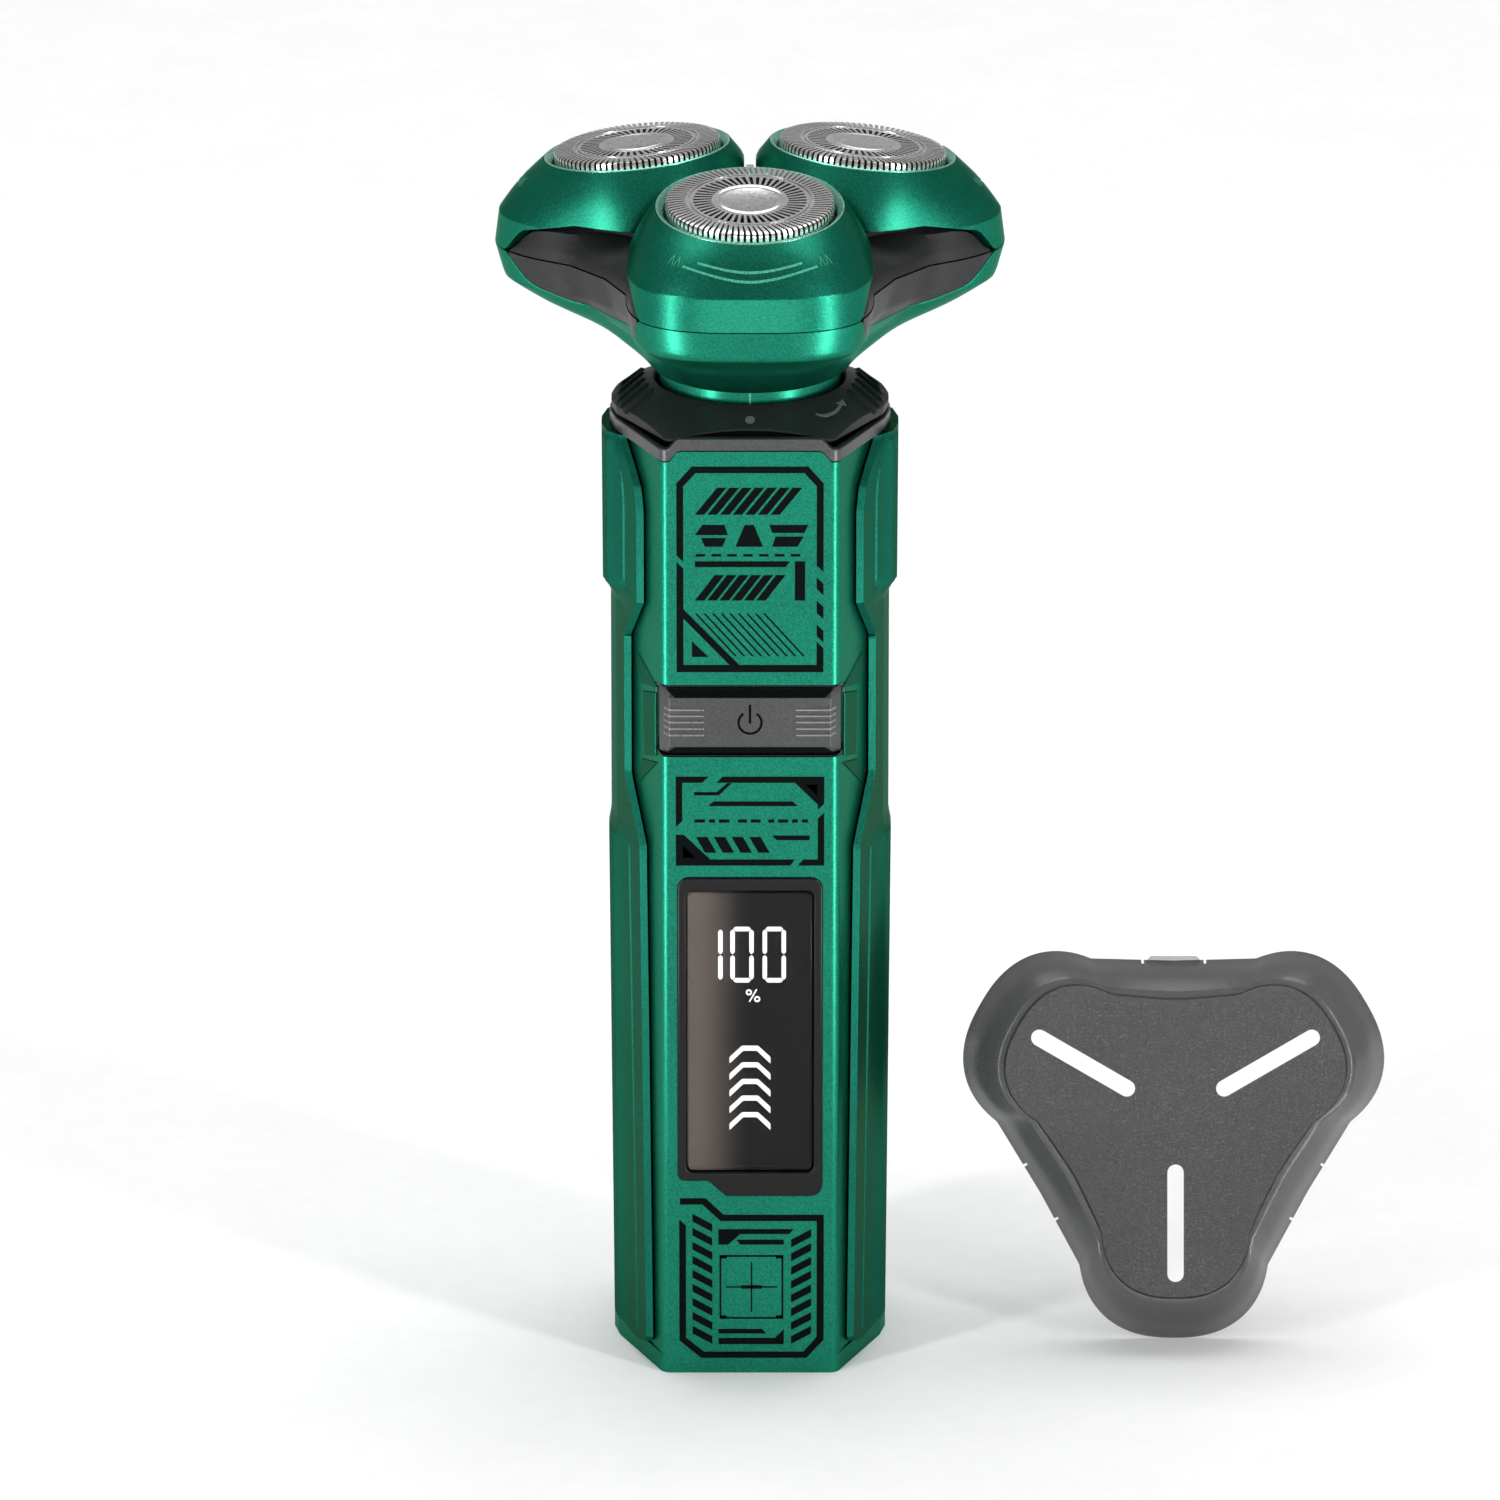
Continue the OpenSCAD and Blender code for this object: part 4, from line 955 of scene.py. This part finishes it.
def frame_column(column):
    """The dark frame lies nearly flush with the shell where it shows, and further in behind the covers."""
    wide = side_distance(*lobe_point(column, (SEAM, MID, TIP))[:2])[0]
    top = min(look_up(FLANK, wide) - 0.15, 153.9)
    shown = 1 - blend_step(17.0, 18.2, wide)
    slope = mix(4.4, 0.7, blend_step(3, 16.5, wide))
    points = []
    for share, lean in ((0, 0), (0.3, 0.06), (0.42, 0.14), (0.7, 0.55), (1, 1)):
        z = mix(SEAM + 0.05, max(top, 150.6), share)
        inset = mix(2.6, 0.22 + slope * lean, shown)
        x, y, z = lobe_point(column, (z, MID, mix(TIP, TIP - 0.6, (z - SEAM) / 4.3)))
        keep = 1 - inset / hypot(x, y)
        points.append((x * keep, y * keep, z))
    x, y, z = points[-1]
    inner = lobe_point(column, (154.9, 15.2, 30.4))
    reach = min(hypot(x, y) - mix(0.6, 1.9, shown), hypot(*inner[:2]) + 2)
    keep = reach / hypot(x, y)
    points.append((x * keep, y * keep, min(z + 0.35, 154.4)))
    points += [inner, lobe_point(column, (154.9, 13.4, 29.4)),
               lobe_point(column, (SEAM + 0.05, 19.6, 29.6))]
    return points


frame_columns = [frame_column(c) for c in HEAD]
upper = Shape()
upper.loft([[column[j] for column in frame_columns] for j in range(len(frame_columns[0]))], wrap=True)
piece("upper_frame", upper, bevel=0.08, angle=40)


# ---- Head: lobe covers ----

GAP = CUTTER_R * sin(radians(60)) - 0.75
RIM_R = 12.35


def cutter_point(x, y, z):
    """From a cutter's own frame to its lobe's frame."""
    return (
        CUTTER_R + x * cos(TILT) + z * sin(TILT), y,
        CUTTER_Z - x * sin(TILT) + z * cos(TILT),
    )


def squared_point(turn, half, tip, z):
    """Where a ray from the cutter's middle meets the lobe's squared outline."""
    dx, dy = cos(turn), sin(turn)

    def inside(r):
        return abs((CUTTER_R + r * dx - tip + half) / half) ** 3 + abs(r * dy / half) ** 3 < 1

    r = narrow_down(0.0, 2.2 * half, inside, 30)[0]
    return (CUTTER_R + r * dx, r * dy, z)


def keep_apart(point, inset=0.0):
    """Holds a point of a lobe cover back from the gaps to its neighbours."""
    x, y = point[0] - CUTTER_R, point[1]
    r = hypot(x, y)
    limit = r
    for turn in (150, 210):
        ahead = (x * cos(radians(turn)) + y * sin(radians(turn))) / max(r, 1e-9)
        if ahead > 1e-6:
            wall = (GAP - inset) / ahead
            soft = 0.5
            h = min(max(0.5 + 0.5 * (wall - limit) / soft, 0), 1)
            limit = mix(wall, limit, h) - soft * h * (1 - h)
    share = min(limit / r, 1) if r else 1
    return (CUTTER_R + x * share, y * share, point[2])


def flank_z(x, y):
    heights = []
    for side in (-1, 1):
        turn = radians(60 * side)
        heights.append(look_up(FLANK, -side * (-x * sin(turn) + y * cos(turn))))
    return max(heights)


def crease_point(turn):
    return squared_point(turn, HALF - 0.1, TIP - 0.6, 154.5)


def shoulder_point(turn, share):
    """A point on the shoulder of a lobe cover: share 0 is its crease and 1 its rim."""
    rim = cutter_point(RIM_R * cos(turn), RIM_R * sin(turn), -0.9)
    p = [mix(a, b, share) for a, b in zip(crease_point(turn), rim)]
    swell = 0.4 * sin(pi * share)
    return (p[0] + swell * cos(turn), p[1] + swell * sin(turn), p[2] + 0.25 * swell)


def pod_column(turn):
    """Outer points from the lower edge up to the rim, then inner points back down."""
    seam, crease = squared_point(turn, HALF, TIP, SEAM), crease_point(turn)

    def outer(u):
        if u <= 1:
            return keep_apart([mix(a, b, u) for a, b in zip(seam, crease)])
        return keep_apart(shoulder_point(turn, u - 1))

    def over_flank(u):
        x, y, z = outer(u)
        return z - flank_z(x, y)

    start = 0.0
    if over_flank(0) < -0.03:
        start = narrow_down(0.0, 1.95, lambda u: over_flank(u) < 0)[1]
    bend = max(1.0, start + 0.02)
    us = [mix(start, bend, s) for s in (0, 0.12, 0.3, 0.5, 0.7, 0.85, 0.96, 1)]
    us += [mix(bend, 2, s) for s in (
        0.025, 0.08, 0.16, 0.26, 0.37, 0.48, 0.59, 0.7, 0.8, 0.88, 0.94, 0.975, 1)]
    points = [outer(u) for u in us]
    bottom = points[0]
    inner_z = max(154.1, bottom[2] + 0.4)
    inner = squared_point(turn, HALF - 1.7, TIP - 2.3, inner_z)
    points.append(cutter_point(RIM_R * cos(turn), RIM_R * sin(turn), -2.8))
    points.append(keep_apart(inner, 0.9))
    points.append(keep_apart(squared_point(turn, HALF - 1.6, TIP - 1.6, bottom[2]), 0.9))
    return points


POD_TURNS = [radians(i * 2.5) for i in range(144)]
POD_COLUMNS = [pod_column(t) for t in POD_TURNS]


def shoulder_width(turn):
    x, y, _ = crease_point(turn)
    return hypot(x - CUTTER_R, y) - RIM_R


def rim_share(turn_degrees, inward):
    """The share of the shoulder at a distance outside the rim."""
    return 1 - inward / shoulder_width(radians(turn_degrees))


def shoulder_line(shape, path, width, start):
    """A thin inlaid line along (degrees, share) points of the shoulder."""
    rows = []
    for degrees, share in path:
        turn = radians(degrees)
        half = width / 2 / shoulder_width(turn)
        a, b = (Vector(shoulder_point(turn, share + step)) for step in (-half, half))
        out = Vector((cos(turn) * 0.8, sin(turn) * 0.8, 0.6))
        corners = (a - out * 0.1, b - out * 0.1, b + out * 0.035, a + out * 0.035)
        rows.append([turned(tuple(p), start) for p in corners])
    shape.loft(rows)


for name, start in LOBES.items():
    pod = Shape()
    count = len(POD_COLUMNS[0])
    pod.loft([[turned(column[j], start) for column in POD_COLUMNS] for j in range(count)], wrap=True)
    piece(f"pod_{name}", pod, bevel=0.14, angle=44)
    lines = Shape()
    for inward, reach in ((2.75, 34), (2.05, 27)):
        shoulder_line(lines, [(d, rim_share(d, inward)) for d in steps(-reach, reach, 24)], 0.2, start)
    for side in (1, -1):
        for k in range(2):
            d = side * (37.5 + 3.6 * k)
            arrow = [(d - 1.3, rim_share(d, 2.9)), (d, rim_share(d, 2.0)), (d + 1.3, rim_share(d, 2.9))]
            shoulder_line(lines, arrow, 0.16, start)
    piece(f"pod_lines_{name}", lines, EDGE_GREEN, body="head_cover", slot="light_green_paint",
          angle=50)

# The light-green rims show as a bright thin ring at the covers' inner edges: part light-green plastic, part
# a painted highlight of the rim's bevel.
rims = Shape()
for start in LOBES.values():
    rims.spin([(12.27, -0.86), (12.12, -0.72), (11.45, -1.35), (11.32, -1.6), (11.32, -2.6), (12.27, -2.6)],
              lambda x, y, z, start=start: turned(cutter_point(x, y, z), start), 128)
piece("pod_rims", rims, bevel=0.06, angle=25)

catch = Shape()
catch.loft([
    [(x, y, z) for x, z in ((-3, 154.9), (3, 154.9), (3, 155.5), (0.7, 155.5), (0.5, 157.2),
                            (-0.5, 157.2), (-0.7, 155.5), (-3, 155.5))]
    for y in (14, 17.4)
])
piece("rear_catch", catch, bevel=0.15)


# ---- Cutters ----

def block_between(place, r0, r1, half0, half1, z_top, z_low, turn, lean):
    """A bar that runs outward between two radii, leaning round the axis."""
    rows = []
    for r, h, a in ((r0, half0, turn), (r1, half1, turn + lean)):
        c, s = cos(a), sin(a)
        rows.append([
            place(r * c - w * s, r * s + w * c, z)
            for w, z in ((-h, z_low), (h, z_low), (h, z_top), (-h, z_top))
        ])
    return rows


for name, start in LOBES.items():
    def place(x, y, z, start=start):
        return turned(cutter_point(x, y, z), start)

    guard = Shape()
    for profile in (
        [(0.01, 0), (4.1, 0), (4.2, -0.08), (4.4, -0.08), (4.5, 0.0), (4.95, 0), (5.0, -0.05),
         (5.0, -0.5), (0.01, -0.5)],
        [(7.35, -0.5), (7.35, -0.05), (7.4, 0), (7.75, 0), (7.8, -0.25), (8.05, -0.25), (8.1, 0),
         (8.3, 0), (8.35, -0.05), (8.35, -0.5)],
        [(10.5, -1.25), (10.97, -1.25), (11, -1.35), (11, -3.4), (12, -3.4), (12, -4), (10.5, -4)],
    ):
        guard.spin(profile, place)
    for i in range(48):
        guard.loft(block_between(place, 4.9, 7.45, 0.16, 0.24, -0.01, -0.45, 2 * pi * i / 48, 0.06))
    for i in range(84):
        turn = 2 * pi * i / 84
        rows = block_between(place, 8.25, 10.55, 0.2, 0.235, -0.01, -0.45, turn, 0.05)
        for r, top, low in ((10.85, -0.12, -0.45), (11.0, -0.42, -0.6), (11.0, -1.35, -1.35)):
            c, s = cos(turn + 0.052), sin(turn + 0.052)
            back = 10.55 if low > -0.5 else 10.52
            rows.append([place(q * c - w * s, q * s + w * c, z) for w, z, q in (
                (-0.235, low, back), (0.235, low, back), (0.235, top, r), (-0.235, top, r))])
        guard.loft(rows)
    piece(f"guard_{name}", guard, angle=40)

    hub = Shape()
    hub.spin([(0.01, 0.01), (3.5, 0.01), (3.6, 0.05), (3.9, 0.05), (3.98, 0.0), (3.9, -0.05),
              (0.01, -0.05)], place, 72)
    piece(f"guard_disc_{name}", hub, DISC_STEEL, body=f"cutter_{name}", slot="cutter_steel")

    # The blade rings take the darkened steel: painted shade under the guards.
    blades = Shape()
    for low, high, number in ((8.2, 10.1, 30), (5.0, 7.4, 24)):
        blades.spin([(low, -1.2), (high, -1.2), (high, -1.02), (low, -1.02)], place)
        for i in range(number):
            turn = 2 * pi * i / number
            blades.loft(
                block_between(place, low + 0.05, high - 0.05, 0.14, 0.14, -0.8, -1.1, turn, 0.12))
    piece(f"blade_ring_{name}", blades, BLADE_STEEL_SHADED, angle=40)


# ---- Protective cover ----

COVER_TIP, COVER_MID, COVER_DEPTH, LEAN = 29.9, 20.7, 8.6, 19.4
COVER = lobe_columns(COVER_TIP, COVER_MID, 12.8, 2.4, 80, 4)
lean = radians(LEAN)
cover_place = Matrix.Translation((
    56.8, -4.3, COVER_TIP * cos(lean) + COVER_DEPTH * sin(lean),
)) @ Matrix.Rotation(radians(90 - LEAN), 4, "X")


def on_cover(point):
    return tuple(cover_place @ Vector(point))


# levels as (height, radius between lobes, radius at the tips)
outer_levels = curve([
    (-COVER_DEPTH, 20.7, 29.9), (-7.4, 20.2, 29.3), (-4, 18.8, 27.6), (-0.9, 16.7, 25.3)], 4)
outer_levels += [(-0.72, 16.2, 24.8), (-0.68, 15.8, 24.4), (0, 15.5, 24.1)]
inner_levels = [(-1.1, 14.6, 23.2), (-1.5, 15.1, 23.9), (-3.8, 17.5, 26.3), (-7.2, 19.0, 28.1),
                (-COVER_DEPTH, 19.6, 28.8)]
plateau = [(0, 14.9, 23.5), (0, 10, 16), (0, 5, 8), (0, 0, 0)]
under_top = [(-1.1, 0, 0), (-1.1, 7, 11.5)]
cover = Shape()
for levels, kind in (
    (outer_levels[:-1], 1),
    # kind 2, the step up to the plateau, is painted shade.
    (outer_levels[-2:], 2),
    (outer_levels[-1:] + plateau, 0),
    (under_top + inner_levels[:1], 0),
    (inner_levels + outer_levels[:1], 1),
):
    cover.loft([[on_cover(lobe_point(c, level)) for c in COVER] for level in levels], caps=False, kind=kind)
slots = Shape()
for start in LOBES.values():
    line = []
    for middle, first in ((7.5, 90), (21, -90)):
        for i in range(13):
            turn = radians(first + 15 * i)
            line.append((middle + 1.1 * cos(turn), 1.1 * sin(turn)))
    slots.prism(line, lambda u, v, d, start=start: on_cover(turned((u, v, d), start)), -3, 3)
    # two small notches beside the snap tab at the middle of each side
    for side in (-1, 1):
        notch = [(18.6, side * 4.0), (22.5, side * 4.0), (22.5, side * 4.35), (18.6, side * 4.35)]
        slots.prism(
            notch, lambda u, v, d, start=start: on_cover(turned((u, v, d), start + 60)), -9.5, -7.4)
piece("protective_cover", cover, [FINISH["smoked_plastic"], SMOKED_RIM, SMOKED_STEP_SHADE],
      cuts=[slots], bevel=0.14, angle=34)
tab = Shape()
tab.prism([(3.6, 20.68), (3.1, 21.3), (-3.1, 21.3), (-3.6, 20.68)],
          lambda u, v, d: on_cover((u, v, d)), -COVER_DEPTH, -7.9)
piece("cover_tab", tab, SMOKED_THIN, body="cover", slot="smoked_plastic", bevel=0.1)


# ---- Floor, light and camera ----

floor_shape = Shape()
BEND_Y, BEND_R = 2700, 500
sweep = [(-3200, -0.02), (BEND_Y, -0.02)]
for degrees in range(5, 91, 5):
    turn = radians(degrees)
    sweep.append((BEND_Y + BEND_R * sin(turn), BEND_R * (1 - cos(turn)) - 0.02))
sweep.append((BEND_Y + BEND_R, 4000))
floor_shape.points = [(x, y, z) for y, z in sweep for x in (-3500, 3500)]
floor_shape.faces = [[2 * i, 2 * i + 1, 2 * i + 3, 2 * i + 2] for i in range(len(sweep) - 1)]
floor_shape.kinds = [0] * len(floor_shape.faces)
floor = new_object("floor", mesh_of("floor", floor_shape))
floor.data.materials.append(material(
    "floor_pale", (0.92, 0.92, 0.92), 0.6, speckle=0.01, grain=300, bump=0.0, patch=0.01, specular=0.2))
floor.data.shade_smooth()


def area_light(name, place, size, power, target=(0, 0, 0.09)):
    light = bpy.data.lights.new(name, "AREA")
    light.shape = "RECTANGLE"
    light.size, light.size_y = size
    light.energy = power
    obj = bpy.data.objects.new(name, light)
    obj.location = place
    obj.rotation_euler = (Vector(target) - Vector(place)).to_track_quat("-Z", "Y").to_euler()
    obj.visible_camera = False
    bpy.context.scene.collection.objects.link(obj)
    return obj


area_light("strip_left", (-0.95, -0.8, 0.3), (0.12, 1.3), 11)
area_light("strip_right", (0.95, -0.8, 0.3), (0.12, 1.3), 11)
for side in (-1, 1):
    for far, along, power in ((0.24, 0.2, 0.4), (0.46, 0.24, 1.0)):
        low = area_light(
            f"edge_light_{side}_{far}", (side * far * 0.77, -far * 0.64, 0.012), (0.045, along), power,
            (side * far * 0.77, -far * 0.64, 1.0))
        low.rotation_euler = (0, pi, radians(side * 50))
area_light("overhead", (0, 0.45, 1.5), (1.8, 1.2), 20, (0, 0.15, 0))
area_light("front_low", (0, -1.6, 0.16), (1.3, 0.22), 4, (0, 0, 0.13))

world = bpy.data.worlds.new("studio")
world.use_nodes = True
fill(world.node_tree.nodes["Background"], {"Color": (1, 1, 1, 1), "Strength": 0.3})
bpy.context.scene.world = world
bpy.context.scene.view_settings.view_transform = "Standard"

camera = bpy.data.cameras.new("camera")
camera.lens = 326
camera.sensor_width = 36
eye = bpy.data.objects.new("camera", camera)
rise_angle = radians(19.38)
aim = Vector((0, 0, 0.0814))
eye.location = aim + 1.8 * Vector((0, -cos(rise_angle), sin(rise_angle)))
eye.rotation_euler = (aim - eye.location).to_track_quat("-Z", "Y").to_euler()
bpy.context.scene.collection.objects.link(eye)
bpy.context.scene.camera = eye
